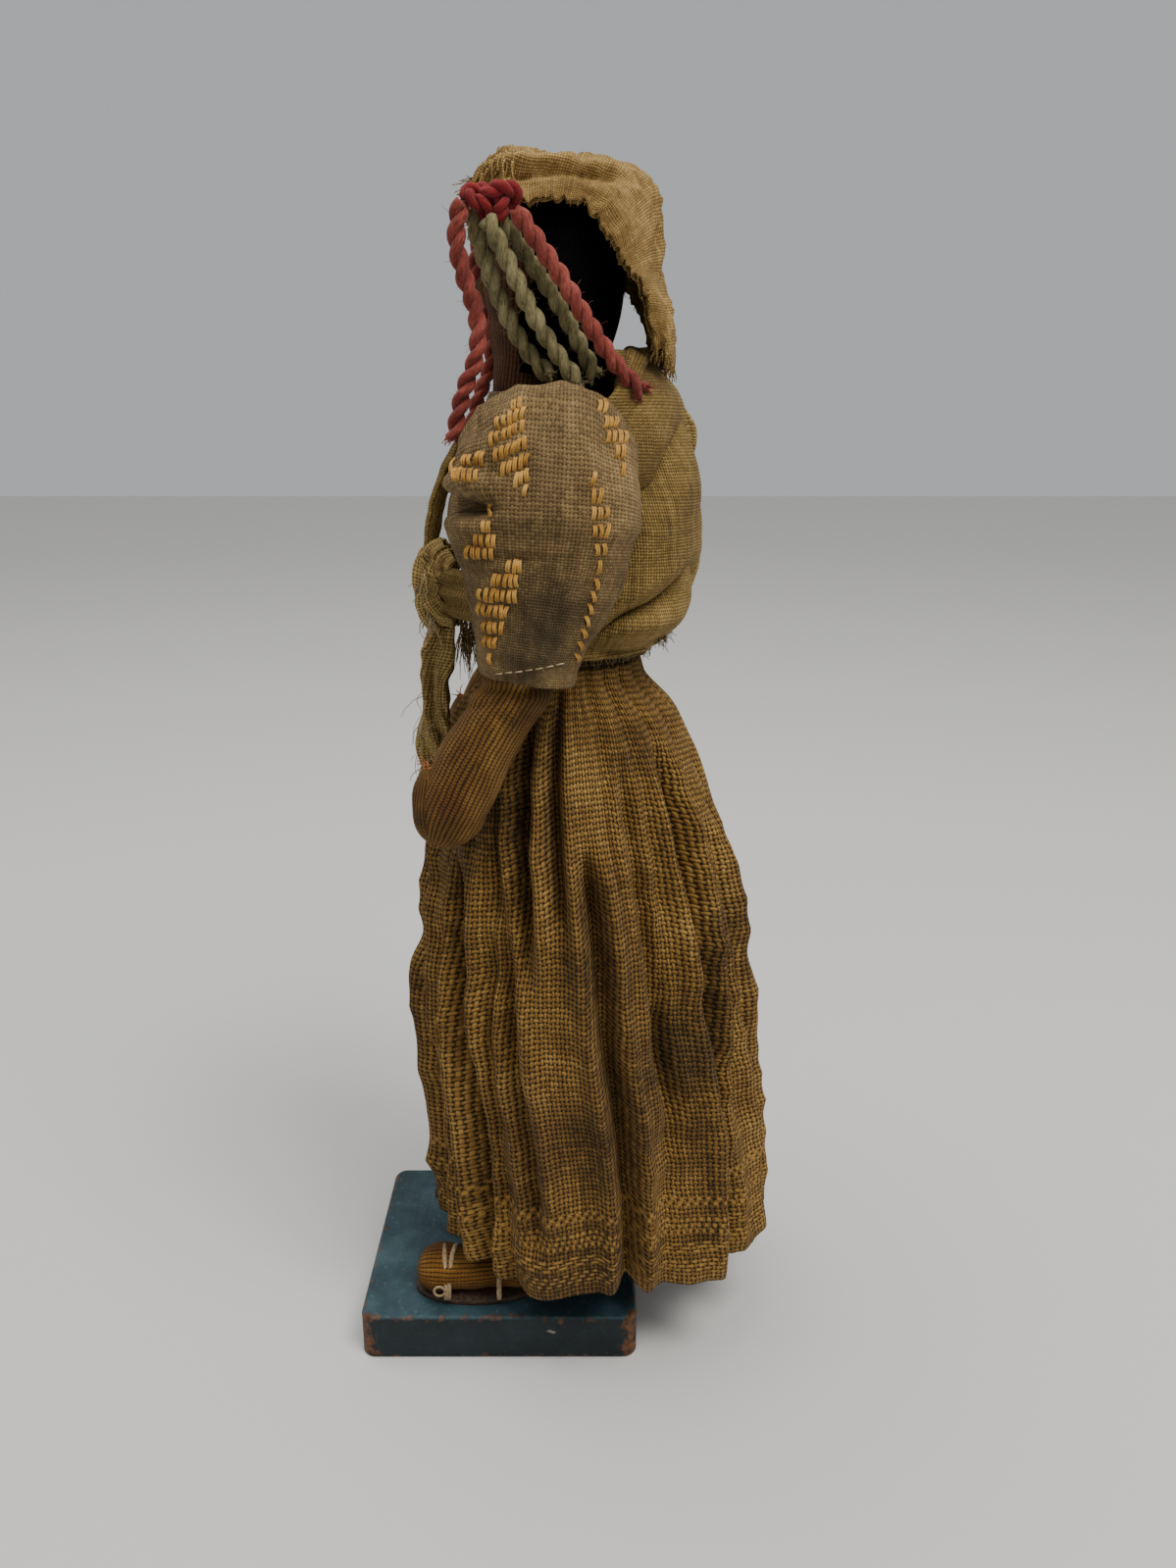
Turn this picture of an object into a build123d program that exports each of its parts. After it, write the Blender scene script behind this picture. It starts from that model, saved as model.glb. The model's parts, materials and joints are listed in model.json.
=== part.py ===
from build123d import *
import os
from math import radians, tan

# A standing cloth folk doll on a painted wooden board, in millimetres.
# The origin is the middle of the board's underside. +Z is up and the doll faces -Y, so its left is +X.
# The doll is a stuffed calico torso with stuffed stockinette limbs and head on soft wire. It wears a
# gathered skirt, a woven belt, a square-cut blouse, a carrying shawl with a bundle in it, and a folded
# headcloth. Lengths of yarn hang from each temple.

# ---- board ----
board_width = 53.0
board_length = 60.0
board_thickness = 10.5
board_corner = 3.0
board_edge = 0.8

# ---- wire, cloth and the room between layers ----
wire_radius = 0.8
wire_depth = 8.0
wire_clearance = 0.06
cloth = 1.0
skin = 0.7
gap = 0.4

# ---- heights, each measured from the one below ----
leg_length = 105.0
hip_height = 34.0
torso_length = 49.0
shoulder_height = 38.0
neck_length = 7.0
head_height = 32.0

# ---- plan of the figure ----
spine_y = 12.0
foot_spread = 16.5
foot_length = 28.0
foot_width = 12.0
foot_height = 8.4
heel_y = 9.0
sole_thickness = 1.2
strap_width = 3.0
leg_top_radius = 6.2
ankle_radius = 4.6
hip_spread = 7.2

waist_half_width = 13.8
waist_half_depth = 13.4
waist_set_back = 3.0
chest_half_width = 14.4
chest_half_depth = 15.0
chest_set_forward = 3.5
neck_radius = 8.4
neck_set_forward = 2.0
head_half_width = 11.6
head_half_depth = 12.0

arm_set_out = 10.8
upper_arm_radius = 5.9
hand_radius = 6.6
arm_stub_radius = 4.6
elbow_drop = 36.0
elbow_forward = 2.4
forearm_drop = 26.6
forearm_forward = 14.5
sleeve_room_beside_arm = 6.7
sleeve_room_behind_arm = 11.1
sleeve_length = 37.0
yoke_half_depth = 12.4
yoke_half_height = 9.8

hem_height = 10.2
skirt_half_width = 33.5
skirt_half_depth = 37.0
skirt_set_back = 7.6
belt_height = 5.4

shawl_half_width = 16.6
shawl_half_depth = 12.8
shawl_set_back = 16.1
band_height = 10.0
band_thickness = 1.6
knot_radius = 5.2
tail_length = 29.5

hair_thickness = 1.0
headcloth_half_width = 15.0
headcloth_half_depth = 17.0
headcloth_hang = 33.0
yarn_diameter = 3.3

# ---- heights above the floor ----
board_top = board_thickness
sole_top = board_top + sole_thickness
hip_z = sole_top + leg_length
waist_z = hip_z + hip_height
shoulder_z = waist_z + shoulder_height
neck_z = waist_z + torso_length
chin_z = neck_z + neck_length
crown_z = chin_z + head_height
skirt_length = waist_z - board_top - hem_height

# ---- how the layers lie over the torso ----
blouse_inside = gap
blouse_outside = blouse_inside + cloth
band_inside = blouse_outside + gap
band_outside = band_inside + band_thickness
skirt_inside = gap
belt_inside = skirt_inside + cloth + gap
belt_outside = belt_inside + cloth

sleeve_plane = max(waist_half_width, chest_half_width) + band_outside + gap
arm_x = sleeve_plane + arm_set_out
wire_room = wire_radius + wire_clearance
wire_spacing = 2 * wire_room + 0.3
shoulder_y = spine_y - wire_spacing
big = 400.0
up = (0, 0, 1)
down = (0, 0, -1)


def ring(centre, half_width, half_depth, normal=up):
    """One ellipse of a soft body, as a row of numbers. Its half width lies along X."""
    return [*centre, half_width, half_depth, *normal]


def slopes(steps, values):
    """The slope at each ring, flat wherever the values turn, so that a curve never swings past a ring."""
    runs = [(b - a) / step for a, b, step in zip(values, values[1:], steps)]
    inner = [2 * a * b / (a + b) if a * b > 0 else 0.0 for a, b in zip(runs, runs[1:])]
    return [runs[0], *inner, runs[-1]]


def evened(rings, count):
    """The same body, described by evenly spaced rings."""
    steps = [max((Vector(*b[:3]) - Vector(*a[:3])).length, 0.01) for a, b in zip(rings, rings[1:])]
    columns = list(zip(*rings))
    column_slopes = [slopes(steps, column) for column in columns]
    rows = []
    for index in range(count):
        along = sum(steps) * index / (count - 1)
        span = 0
        while span < len(steps) - 1 and along > steps[span]:
            along -= steps[span]
            span += 1
        step = steps[span]
        t = min(along / step, 1.0)
        row = []
        for column, tilt in zip(columns, column_slopes):
            a, b = column[span], column[span + 1]
            row.append(
                a * (1 + 2 * t) * (1 - t) ** 2 + b * t * t * (3 - 2 * t)
                + step * (tilt[span] * t * (1 - t) ** 2 - tilt[span + 1] * t * t * (1 - t))
            )
        rows.append(row)
    return rows


def soft(rings, grow=0.0, count=9):
    """A soft body through its rings from first to last, fatter all round by grow."""
    rows = evened(rings, count)
    sections = []
    for index, row in enumerate(rows):
        end = -1 if index == 0 else 1 if index == len(rows) - 1 else 0
        normal = Vector(*row[5:8]).normalized()
        plane = Plane(origin=Vector(*row[:3]) + normal * (grow * end), x_dir=(1, 0, 0), z_dir=normal)
        sections.append(plane * Ellipse(row[3] + grow, row[4] + grow))
    return loft(sections)


def block(low, high):
    """A box between two corners."""
    size = [b - a for a, b in zip(low, high)]
    middle = [(a + b) / 2 for a, b in zip(low, high)]
    return Pos(*middle) * Box(*size)


def rod(points, radius, bend=4.0):
    """A bent wire, or a plain length of yarn, through its points."""
    path = FilletPolyline(*points, radius=bend) if len(points) > 2 else Line(*points)
    return sweep(Plane(origin=path @ 0, z_dir=path % 0) * Circle(radius), path=path)


def along_x(radius, x_from, x_to, y, z):
    """A round bar that lies along X."""
    bar = Plane(origin=(x_from, y, z), z_dir=(1, 0, 0)) * Circle(radius)
    return extrude(bar, amount=x_to - x_from)


def mirrored(shape):
    return mirror(shape, about=Plane.YZ)


def save(name, shape):
    solids = shape.solids()
    export_step(solids[0] if len(solids) == 1 else Compound(children=list(solids)), f"parts/{name}.step")


def save_pair(name, shape):
    """The left piece, and its mirror image for the right."""
    save(f"left_{name}", shape)
    save(f"right_{name}", mirrored(shape))


# ---- wires ----
def leg_wire(radius):
    foot_y = heel_y - foot_length * 0.22
    points = [
        (foot_spread, foot_y, board_top - wire_depth),
        (foot_spread, foot_y, sole_top + leg_length * 0.2),
        (hip_spread, spine_y - 1, hip_z - 6),
        (wire_spacing, spine_y, hip_z + 8),
        (wire_spacing, spine_y, hip_z + 22),
    ]
    return rod(points, radius)


def spine_wire(radius):
    return rod([(0, spine_y, hip_z + 4), (0, spine_y, crown_z - head_height * 0.35)], radius)


def shoulder_wire(radius):
    reach = arm_x - upper_arm_radius
    return along_x(radius, -reach, reach, shoulder_y, shoulder_z)


elbow = (arm_x, shoulder_y - elbow_forward, shoulder_z - elbow_drop)
palm = (arm_x, elbow[1] - forearm_forward, elbow[2] - forearm_drop)


def arm_wire(radius):
    """From beside the end of the shoulder wire, down the arm to the hand."""
    start = arm_x - upper_arm_radius + gap
    points = [
        (start, shoulder_y, shoulder_z),
        (arm_x, shoulder_y, shoulder_z),
        elbow,
        (palm[0], palm[1] + 2, palm[2] + 4),
    ]
    return rod(points, radius, bend=2.0)


leg_wire_room = leg_wire(wire_room)
both_leg_rooms = leg_wire_room + mirrored(leg_wire_room)
spine_room = spine_wire(wire_room)
shoulder_room = shoulder_wire(wire_room)


# ---- board ----
def make_board():
    low = (-board_width / 2, -board_length / 2, 0)
    high = (board_width / 2, board_length / 2, board_thickness)
    board = block(low, high)
    board = fillet(board.edges().filter_by(Axis.Z), board_corner)
    board = fillet(board.faces().sort_by(Axis.Z)[-1].edges(), board_edge)
    board = chamfer(board.faces().sort_by(Axis.Z)[0].edges(), board_edge / 2)
    return board - both_leg_rooms


# ---- legs, feet and sandals ----
toe_y = heel_y - foot_length
foot_rise = foot_height / 2
forward = (0, -1, 0)


def foot_rings():
    """Heel to toe, fullest over the toes."""
    shares = [(0.02, 0.45), (0.12, 0.78), (0.35, 0.86), (0.62, 0.95), (0.82, 1.0), (0.94, 0.78), (1.0, 0.35)]
    return [
        ring(
            (foot_spread, heel_y - foot_length * along, sole_top + foot_rise * 0.86),
            foot_width / 2 * full,
            foot_rise * full,
            forward,
        )
        for along, full in shares
    ]


def leg_rings():
    ankle_y = heel_y - foot_length * 0.22
    return [
        ring((foot_spread, ankle_y, sole_top + foot_height * 0.5), ankle_radius, ankle_radius),
        ring((foot_spread, ankle_y, sole_top + 14), ankle_radius, ankle_radius),
        ring((foot_spread - 1.5, ankle_y + 2, sole_top + leg_length * 0.45), ankle_radius + 1, ankle_radius + 1),
        ring((hip_spread + 1, spine_y - 1.5, hip_z - 14), leg_top_radius, leg_top_radius + 1),
        ring((hip_spread, spine_y - 1, hip_z - gap), leg_top_radius, leg_top_radius + 1),
    ]


def leg_body(grow=0.0):
    flat = sole_top - min(grow, 0.0)
    leg = soft(leg_rings(), grow) + soft(foot_rings(), grow)
    return leg - block((0, toe_y - big, flat - big), (big, heel_y + big, flat))


def sandal_sole():
    outline = Pos(foot_spread, (heel_y + toe_y) / 2, board_top) * SlotOverall(foot_length, foot_width + 1, rotation=90)
    return extrude(outline, amount=sole_thickness) - leg_wire_room


def sandal_strap():
    strap_y = toe_y + foot_length * 0.27
    band = soft(foot_rings(), gap + 0.9) - soft(foot_rings(), gap * 0.6)
    return band & block(
        (0, strap_y - strap_width / 2, sole_top), (big, strap_y + strap_width / 2, sole_top + big)
    )


# ---- torso ----
def torso_rings():
    waist_y = spine_y + waist_set_back
    chest_y = spine_y - chest_set_forward
    return [
        ring((0, waist_y - 1, hip_z), waist_half_width * 0.86, waist_half_depth * 0.84),
        ring((0, waist_y, hip_z + hip_height * 0.4), waist_half_width + 2.0, waist_half_depth + 2.0),
        ring((0, waist_y, waist_z - 4), waist_half_width, waist_half_depth),
        ring((0, waist_y, waist_z + 4), waist_half_width, waist_half_depth),
        ring((0, spine_y - 1, waist_z + torso_length * 0.34), waist_half_width + 0.4, chest_half_depth - 0.6),
        ring((0, chest_y, waist_z + torso_length * 0.6), chest_half_width, chest_half_depth),
        ring((0, spine_y - 2, waist_z + torso_length * 0.86), chest_half_width - 1, chest_half_depth - 4),
        ring((0, spine_y - neck_set_forward, neck_z), neck_radius + 0.8, neck_radius + 0.6),
    ]


def torso_body(grow=0.0):
    return soft(torso_rings(), grow, 14)


# ---- head ----
def head_rings():
    head_y = spine_y + 0.5
    neck_y = spine_y - neck_set_forward
    shares = [(0.04, 0.86), (0.22, 0.97), (0.48, 1.0), (0.74, 0.9), (0.9, 0.62), (0.97, 0.34)]
    neck = [
        ring((0, neck_y, neck_z + gap + skin), neck_radius, neck_radius + 0.2),
        ring((0, neck_y + 0.4, chin_z - 3), neck_radius, neck_radius + 0.2),
    ]
    skull = [
        ring((0, head_y, chin_z + head_height * rise), head_half_width * full, head_half_depth * full)
        for rise, full in shares
    ]
    return neck + skull


def head_body(grow=0.0):
    return soft(head_rings(), grow, 10)


def hair():
    """A black cloth sewn over the back of the head, from the crown to the nape."""
    cap = head_body(gap + hair_thickness) - head_body(gap)
    face_side = Plane(origin=(0, spine_y - 3.0, crown_z), z_dir=(0, -1, 0.28))
    front = extrude(face_side * Rectangle(big, big), amount=big)
    below = block((-big, -big, -big), (big, big, chin_z - 3.2))
    return cap - front - below


def headcloth_rings():
    """The folded cloth over the crown, which hangs down clear of the hair behind."""
    foot = crown_z - headcloth_hang - 3
    side, deep = headcloth_half_width, headcloth_half_depth
    return [
        ring((0, spine_y + 6.2, foot), side, deep),
        ring((0, spine_y + 5.8, foot + 9), side, deep),
        ring((0, spine_y + 4.8, foot + 19), side, deep * 0.95),
        ring((0, spine_y + 2.8, crown_z - 9), side * 0.95, deep * 0.92),
        ring((0, spine_y + 0.2, crown_z - 2.4), side * 0.78, deep * 0.81),
        ring((0, spine_y - 2.0, crown_z + 2.4), side * 0.45, deep * 0.5),
        ring((0, spine_y - 4.0, crown_z + 4.2), side * 0.2, deep * 0.24),
    ]


def headcloth():
    outside = soft(headcloth_rings(), 0, 10)
    inside = soft(headcloth_rings(), -1.2 * cloth, 10)
    foot = crown_z - headcloth_hang
    edge = [
        (spine_y - 20, crown_z - 7.5),
        (spine_y - 2, crown_z - 6.0),
        (spine_y + 6, crown_z - 9.0),
        (spine_y + 13, crown_z - 18.0),
        (spine_y + 17, crown_z - 27.0),
        (spine_y + 18.2, foot),
        (spine_y + 60, foot),
        (spine_y + 60, crown_z + 40),
        (spine_y - 20, crown_z + 40),
    ]
    outline = Plane.YZ * Polyline(*edge, close=True)
    kept = extrude(make_face(outline), amount=big, both=True)
    return (outside - inside) & kept


# ---- blouse and sleeves ----
def yoke(grow=0.0):
    """The square-cut shoulders of the blouse, which reach out to the sleeves."""
    plane = Plane(origin=(gap - sleeve_plane, shoulder_y + 2.2, shoulder_z + 1), x_dir=(0, 1, 0), z_dir=(1, 0, 0))
    section = plane * Ellipse(yoke_half_depth + grow, yoke_half_height + grow)
    return extrude(section, amount=2 * (sleeve_plane - gap))


def blouse():
    neck_hole = Pos(0, spine_y - neck_set_forward, neck_z) * Cylinder(neck_radius + gap + 1.0, 40)
    shell = (torso_body(blouse_outside) + yoke()) - torso_body(blouse_inside) - yoke(-cloth)
    above_waist = block((-big, -big, waist_z + gap), (big, big, big))
    return (shell & above_waist) - neck_hole


def sleeve_rings(below=0.0):
    """Shoulder to hem: wide where the square cloth folds over the arm, narrow at the hem."""
    x, y = arm_x - 3.0, shoulder_y + 1.6
    half_x = upper_arm_radius + sleeve_room_beside_arm
    half_y = upper_arm_radius + sleeve_room_behind_arm
    shares = [
        (-13.6, 0.9, 0.3, 0.22), (-11.2, 0.6, 0.66, 0.54), (-5.0, 0.3, 0.9, 0.86), (3.0, 0.0, 1.0, 1.0),
        (12.0, -0.6, 1.0, 0.96), (21.0, -1.0, 0.92, 0.77), (30.0, -2.2, 0.9, 0.6),
        (sleeve_length + below, -3.4, 0.88, 0.53),
    ]
    return [
        ring((x, y + ahead, shoulder_z - drop), half_x * wide, half_y * deep, down)
        for drop, ahead, wide, deep in shares
    ]


def sleeve():
    shell = soft(sleeve_rings(), 0, 11) - soft(sleeve_rings(3.0), -cloth, 11)
    return shell & block((sleeve_plane, -big, -big), (big, big, big))


# ---- arms ----
def arm_rings():
    slope = (0, -forearm_forward, -forearm_drop)
    halfway = (0, slope[1] / 2, slope[2])

    def on_forearm(share):
        return arm_x, elbow[1] - forearm_forward * share, elbow[2] - forearm_drop * share

    arm = upper_arm_radius
    return [
        ring((arm_x, shoulder_y, shoulder_z + arm * 0.92), arm * 0.4, arm * 0.4, down),
        ring((arm_x, shoulder_y, shoulder_z + arm * 0.5), arm * 0.86, arm * 0.86, down),
        ring((arm_x, shoulder_y, shoulder_z - 3), arm, arm, down),
        ring((arm_x, shoulder_y - elbow_forward * 0.4, shoulder_z - elbow_drop * 0.6), arm, arm, down),
        ring(elbow, arm * 0.98, arm, halfway),
        ring(on_forearm(0.35), arm * 0.96, arm, slope),
        ring(on_forearm(0.75), hand_radius, hand_radius, slope),
        ring(on_forearm(1.0), hand_radius, hand_radius, slope),
        ring(on_forearm(1.14), hand_radius * 0.82, hand_radius * 0.84, slope),
        ring(on_forearm(1.22), hand_radius * 0.4, hand_radius * 0.4, slope),
    ]


def fingers():
    """The end of the hand, turned up and sewn back against the palm."""
    tip = (palm[0], palm[1] - 5.2, palm[2] + 9.5)
    root = (palm[0], palm[1] - 3.2, palm[2] - 4.5)
    rise = (0, tip[1] - root[1], tip[2] - root[2])

    def between(share):
        return tuple(a + (b - a) * share for a, b in zip(root, tip))

    rings = [
        ring(between(0.0), 3.6, 2.4, rise),
        ring(between(0.4), 5.0, 3.4, rise),
        ring(between(0.75), 4.0, 2.6, rise),
        ring(between(1.0), 1.8, 1.3, rise),
    ]
    return soft(rings, 0, 6)


def arm_body(grow=0.0):
    stub = along_x(arm_stub_radius + grow, sleeve_plane - grow, arm_x, shoulder_y, shoulder_z)
    return soft(arm_rings(), grow, 14) + stub


def fingertip_thread():
    """The small knot that holds the turned-up fingers."""
    centre = (palm[0] - 1.2, palm[1] - 5.6, palm[2] + 11.1)
    return Plane(origin=centre, z_dir=(1, 0, 0)) * Torus(1.0, 0.35)


# ---- skirt and belt ----
def skirt_rings(reach=0.0):
    """Waist to hem. The back is held out behind the board. Both ends can be carried on by reach."""
    waist_x = waist_half_width + skirt_inside + cloth
    waist_y = waist_half_depth + skirt_inside + cloth
    wide, deep = skirt_half_width, skirt_half_depth
    more = reach / skirt_length
    levels = [
        (-more, 0.0, waist_x, waist_y),
        (0.022, 0.0, waist_x + 0.3, waist_y + 0.3),
        (0.084, 0.0, wide * 0.62, deep * 0.61),
        (0.197, 0.08, wide * 0.76, deep * 0.745),
        (0.383, 0.36, wide * 0.89, deep * 0.86),
        (0.56, 0.42, wide * 0.97, deep * 0.95),
        (0.77, 0.75, wide, deep * 0.97),
        (1.0 + more, 1.0, wide, deep),
    ]
    centre_y = spine_y + waist_set_back
    return [
        ring((0, centre_y + skirt_set_back * back, waist_z - drop * skirt_length), half_x, half_y, down)
        for drop, back, half_x, half_y in levels
    ]


def skirt():
    return soft(skirt_rings(), 0, 14) - soft(skirt_rings(3.0), -cloth, 14)


def belt_band(grow):
    plane = Plane(origin=(0, spine_y + waist_set_back, waist_z + gap))
    return extrude(plane * Ellipse(waist_half_width + grow, waist_half_depth + grow), amount=belt_height)


def belt():
    return belt_band(belt_outside + 0.5) - belt_band(belt_inside + 0.5)


# ---- shawl, its knot and tail, and the bundle it carries ----
def shawl_rings():
    y = spine_y + shawl_set_back
    half_x, half_y = shawl_half_width, shawl_half_depth
    foot = waist_z + belt_height + 3 * gap
    span = neck_z + 4.2 - foot
    shares = [
        (0.0, -0.6, 0.74, 0.55), (0.11, 0.0, 0.93, 0.84), (0.3, 0.3, 1.0, 1.0), (0.56, 0.3, 1.0, 0.99),
        (0.78, 0.0, 0.93, 0.86), (0.93, -0.6, 0.78, 0.62), (1.0, -1.4, 0.5, 0.3),
    ]
    return [ring((0, y + back, foot + span * rise), half_x * wide, half_y * deep) for rise, back, wide, deep in shares]


def worn(shape, grow):
    """The shape, less everything worn under the shawl."""
    return shape - torso_body(blouse_outside + grow) - yoke(grow) - head_body(gap + hair_thickness + 0.3)


def shawl_back():
    return worn(soft(shawl_rings()) - soft(shawl_rings(), -cloth), gap)


def bundle():
    return worn(soft(shawl_rings(), -cloth - gap), gap + 0.2)


knot_x = 4.0
knot_y = spine_y - 21.2
knot_z = waist_z + 13.4
knot_half_height = 7.8


def knot(grow=0.0):
    """The two ends of the shawl tied together."""
    shares = [(-1.0, 0.32), (-0.72, 0.74), (-0.3, 0.98), (0.1, 1.0), (0.6, 0.86), (1.0, 0.36)]
    rings = [
        ring((knot_x, knot_y, knot_z + knot_half_height * rise), knot_radius * full, knot_radius * full)
        for rise, full in shares
    ]
    return soft(rings, grow, 8)


def strap(stations, width, thickness):
    """A flat band through its stations, each a centre and the direction it faces."""
    sections = []
    centres = [Vector(*centre) for centre, _ in stations]
    for index, (_, facing) in enumerate(stations):
        along = centres[min(index + 1, len(centres) - 1)] - centres[max(index - 1, 0)]
        across = along.cross(Vector(*facing))
        plane = Plane(origin=centres[index], x_dir=across, z_dir=along)
        sections.append(plane * Rectangle(width, thickness))
    return loft(sections)


def shoulder_band():
    """The shawl's upper end: over the right shoulder and slanting down to the knot."""
    out_y = blouse_outside + gap + band_thickness / 2 + 0.5
    chest_y = spine_y - chest_set_forward - chest_half_depth - out_y
    top_y, top_z = shoulder_y + 2.2, shoulder_z + 1 + yoke_half_height + gap + band_thickness / 2 + 0.2
    far_x = -(neck_radius + 5.8)
    stations = [
        ((knot_x - 3.6, chest_y + 1.0, knot_z + knot_half_height + 0.6), (0, -1, 0)),
        ((knot_x - 6.2, chest_y + 0.4, shoulder_z - 10), (-0.1, -1, 0.05)),
        ((knot_x - 10.6, chest_y + 2.8, shoulder_z - 1.2), (-0.25, -1, 0.4)),
        ((far_x + 3.0, chest_y + 8.2, shoulder_z + 7.4), (-0.3, -1, 1)),
        ((far_x + 0.6, top_y - 7.0, top_z - 1.2), (-0.1, -0.5, 1)),
        ((far_x, top_y, top_z), (0, 0, 1)),
    ]
    return worn(strap(stations, band_height * 0.66, band_thickness), gap) - knot(gap)


def side_band():
    """The shawl's lower end: from under the left arm round to the knot."""
    ring_of_cloth = torso_body(band_outside) - torso_body(band_inside)
    middle = knot_z - 1.0
    front = block((knot_x, -big, middle - band_height / 2), (big, spine_y + 4, middle + band_height / 2))
    return (ring_of_cloth & front) - knot(0.1)


tail_top_z = knot_z - knot_half_height - gap
tail_y = knot_y - 1.6


def tail():
    """The end of the shawl that hangs from the knot in front of the skirt."""
    levels = [(0.0, 1.8, 1.6, 0.0), (0.2, 2.4, 3.0, 0.6), (0.5, 2.2, 2.8, 1.9), (0.8, 2.2, 2.3, 3.0), (1.0, 1.8, 1.8, 3.6)]
    rings = [
        ring((knot_x, tail_y - ahead, tail_top_z - tail_length * fall), half_x, half_y, down)
        for fall, half_x, half_y, ahead in levels
    ]
    return soft(rings, 0, 7)


# ---- yarn ----
inner_x = head_half_width + gap + hair_thickness + yarn_diameter / 2 + 0.3
outer_x = inner_x + yarn_diameter + 0.3
rest_x = sleeve_plane - yarn_diameter / 2 - 0.4

# Each strand's route on the left: outward, behind the spine, above the neck.
yarn_routes = {
    "red_front_yarn": [
        (outer_x, -13.8, 31.0), (outer_x, -15.2, 26.6), (outer_x - 0.8, -14.2, 20.6), (rest_x, -11.6, 13.4),
        (rest_x - 0.4, -12.0, 6.4), (rest_x - 0.2, -15.2, 0.4), (rest_x - 0.6, -16.6, -7.0),
    ],
    "grey_front_yarn": [
        (inner_x, -12.6, 30.6), (inner_x, -10.6, 22.8), (inner_x - 0.6, -7.4, 14.6), (inner_x - 1.6, -3.0, 6.8),
        (inner_x - 1.2, 0.6, 3.8),
    ],
    "grey_middle_yarn": [
        (outer_x, -9.5, 28.4), (outer_x - 0.2, -6.2, 22.0), (rest_x, -1.8, 12.7), (rest_x - 0.4, 3.6, 5.0),
        (rest_x, 5.6, 2.6),
    ],
    "grey_back_yarn": [
        (inner_x, -7.4, 29.0), (inner_x, -2.2, 22.2), (inner_x - 0.8, 3.8, 13.4), (inner_x - 1.6, 8.6, 3.7),
    ],
    "red_back_yarn": [
        (outer_x, -4.7, 29.8), (outer_x, 1.4, 21.8), (outer_x - 0.8, 7.5, 12.1), (rest_x, 12.8, 4.6),
        (rest_x + 0.2, 17.0, 1.0),
    ],
}


def yarn_points(route):
    return [Vector(out, spine_y + back, neck_z + rise) for out, back, rise in route]


def yarn_bends(points):
    """The largest bend that each inner point's two runs leave room for."""
    bends = []
    for before, here, after in zip(points, points[1:], points[2:]):
        turn = radians((here - before).get_angle(after - here))
        run = min((here - before).length, (after - here).length)
        bends.append(0.45 * run / tan(turn / 2))
    return bends


def yarn(name):
    points = yarn_points(yarn_routes[name])
    bends = yarn_bends(points)
    path = FilletPolyline(*points, radius=bends)
    print(name, "length", round(path.length, 1), "bends", [round(b, 1) for b in bends])
    return sweep(Plane(origin=path @ 0, z_dir=path % 0) * Circle(yarn_diameter / 2), path=path)


def yarn_knot():
    """The tied loop of yarn at the temple, from which the strands hang."""
    centre = ((inner_x + outer_x) / 2, spine_y - 8.6, neck_z + 35.2)
    return Plane(origin=centre, z_dir=(1, 0, 0)) * Torus(2.6, 1.0)


# ---- write the pieces ----
os.makedirs("parts", exist_ok=True)

save("base_board", make_board())

legs_room = both_leg_rooms + spine_room
save_pair("leg_wire", leg_wire(wire_radius))
save("spine_wire", spine_wire(wire_radius))
save("shoulder_wire", shoulder_wire(wire_radius))

save_pair("leg_skin", leg_body() - leg_body(-skin) - leg_wire_room)
save_pair("leg_stuffing", leg_body(-skin - gap) - leg_wire_room)
save_pair("sandal_sole", sandal_sole())
save_pair("sandal_strap", sandal_strap())

wires_room = legs_room + shoulder_room
save("torso_skin", torso_body() - torso_body(-skin) - wires_room)
save("torso_stuffing", torso_body(-skin - gap) - wires_room)

save("head_skin", head_body() - head_body(-skin) - spine_room)
save("head_stuffing", head_body(-skin - gap) - spine_room)
save("hair_cloth", hair())
save("headcloth", headcloth())

save("blouse", blouse())
save("skirt", skirt())
save("belt", belt())

save("shawl_back", shawl_back())
save("bundle", bundle())
save("shawl_shoulder_band", shoulder_band())
save("shawl_side_band", side_band())
save("shawl_knot", knot() - torso_body(band_outside + 0.05))
save("shawl_tail", tail())

arm_wire_room = arm_wire(wire_room)
arm_rooms = arm_wire_room + shoulder_room
save_pair("arm_wire", arm_wire(wire_radius))
save_pair("arm_skin", (arm_body() + fingers()) - arm_body(-skin) - arm_rooms)
save_pair("arm_stuffing", arm_body(-skin - gap) - arm_rooms)
save_pair("sleeve", sleeve())
save_pair("fingertip_thread", fingertip_thread())

save_pair("yarn_knot", yarn_knot())
for strand in yarn_routes:
    save_pair(strand, yarn(strand))
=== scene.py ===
import json
import math
import random

import bmesh
import bpy
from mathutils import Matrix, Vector, noise
from mathutils.bvhtree import BVHTree


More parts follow.
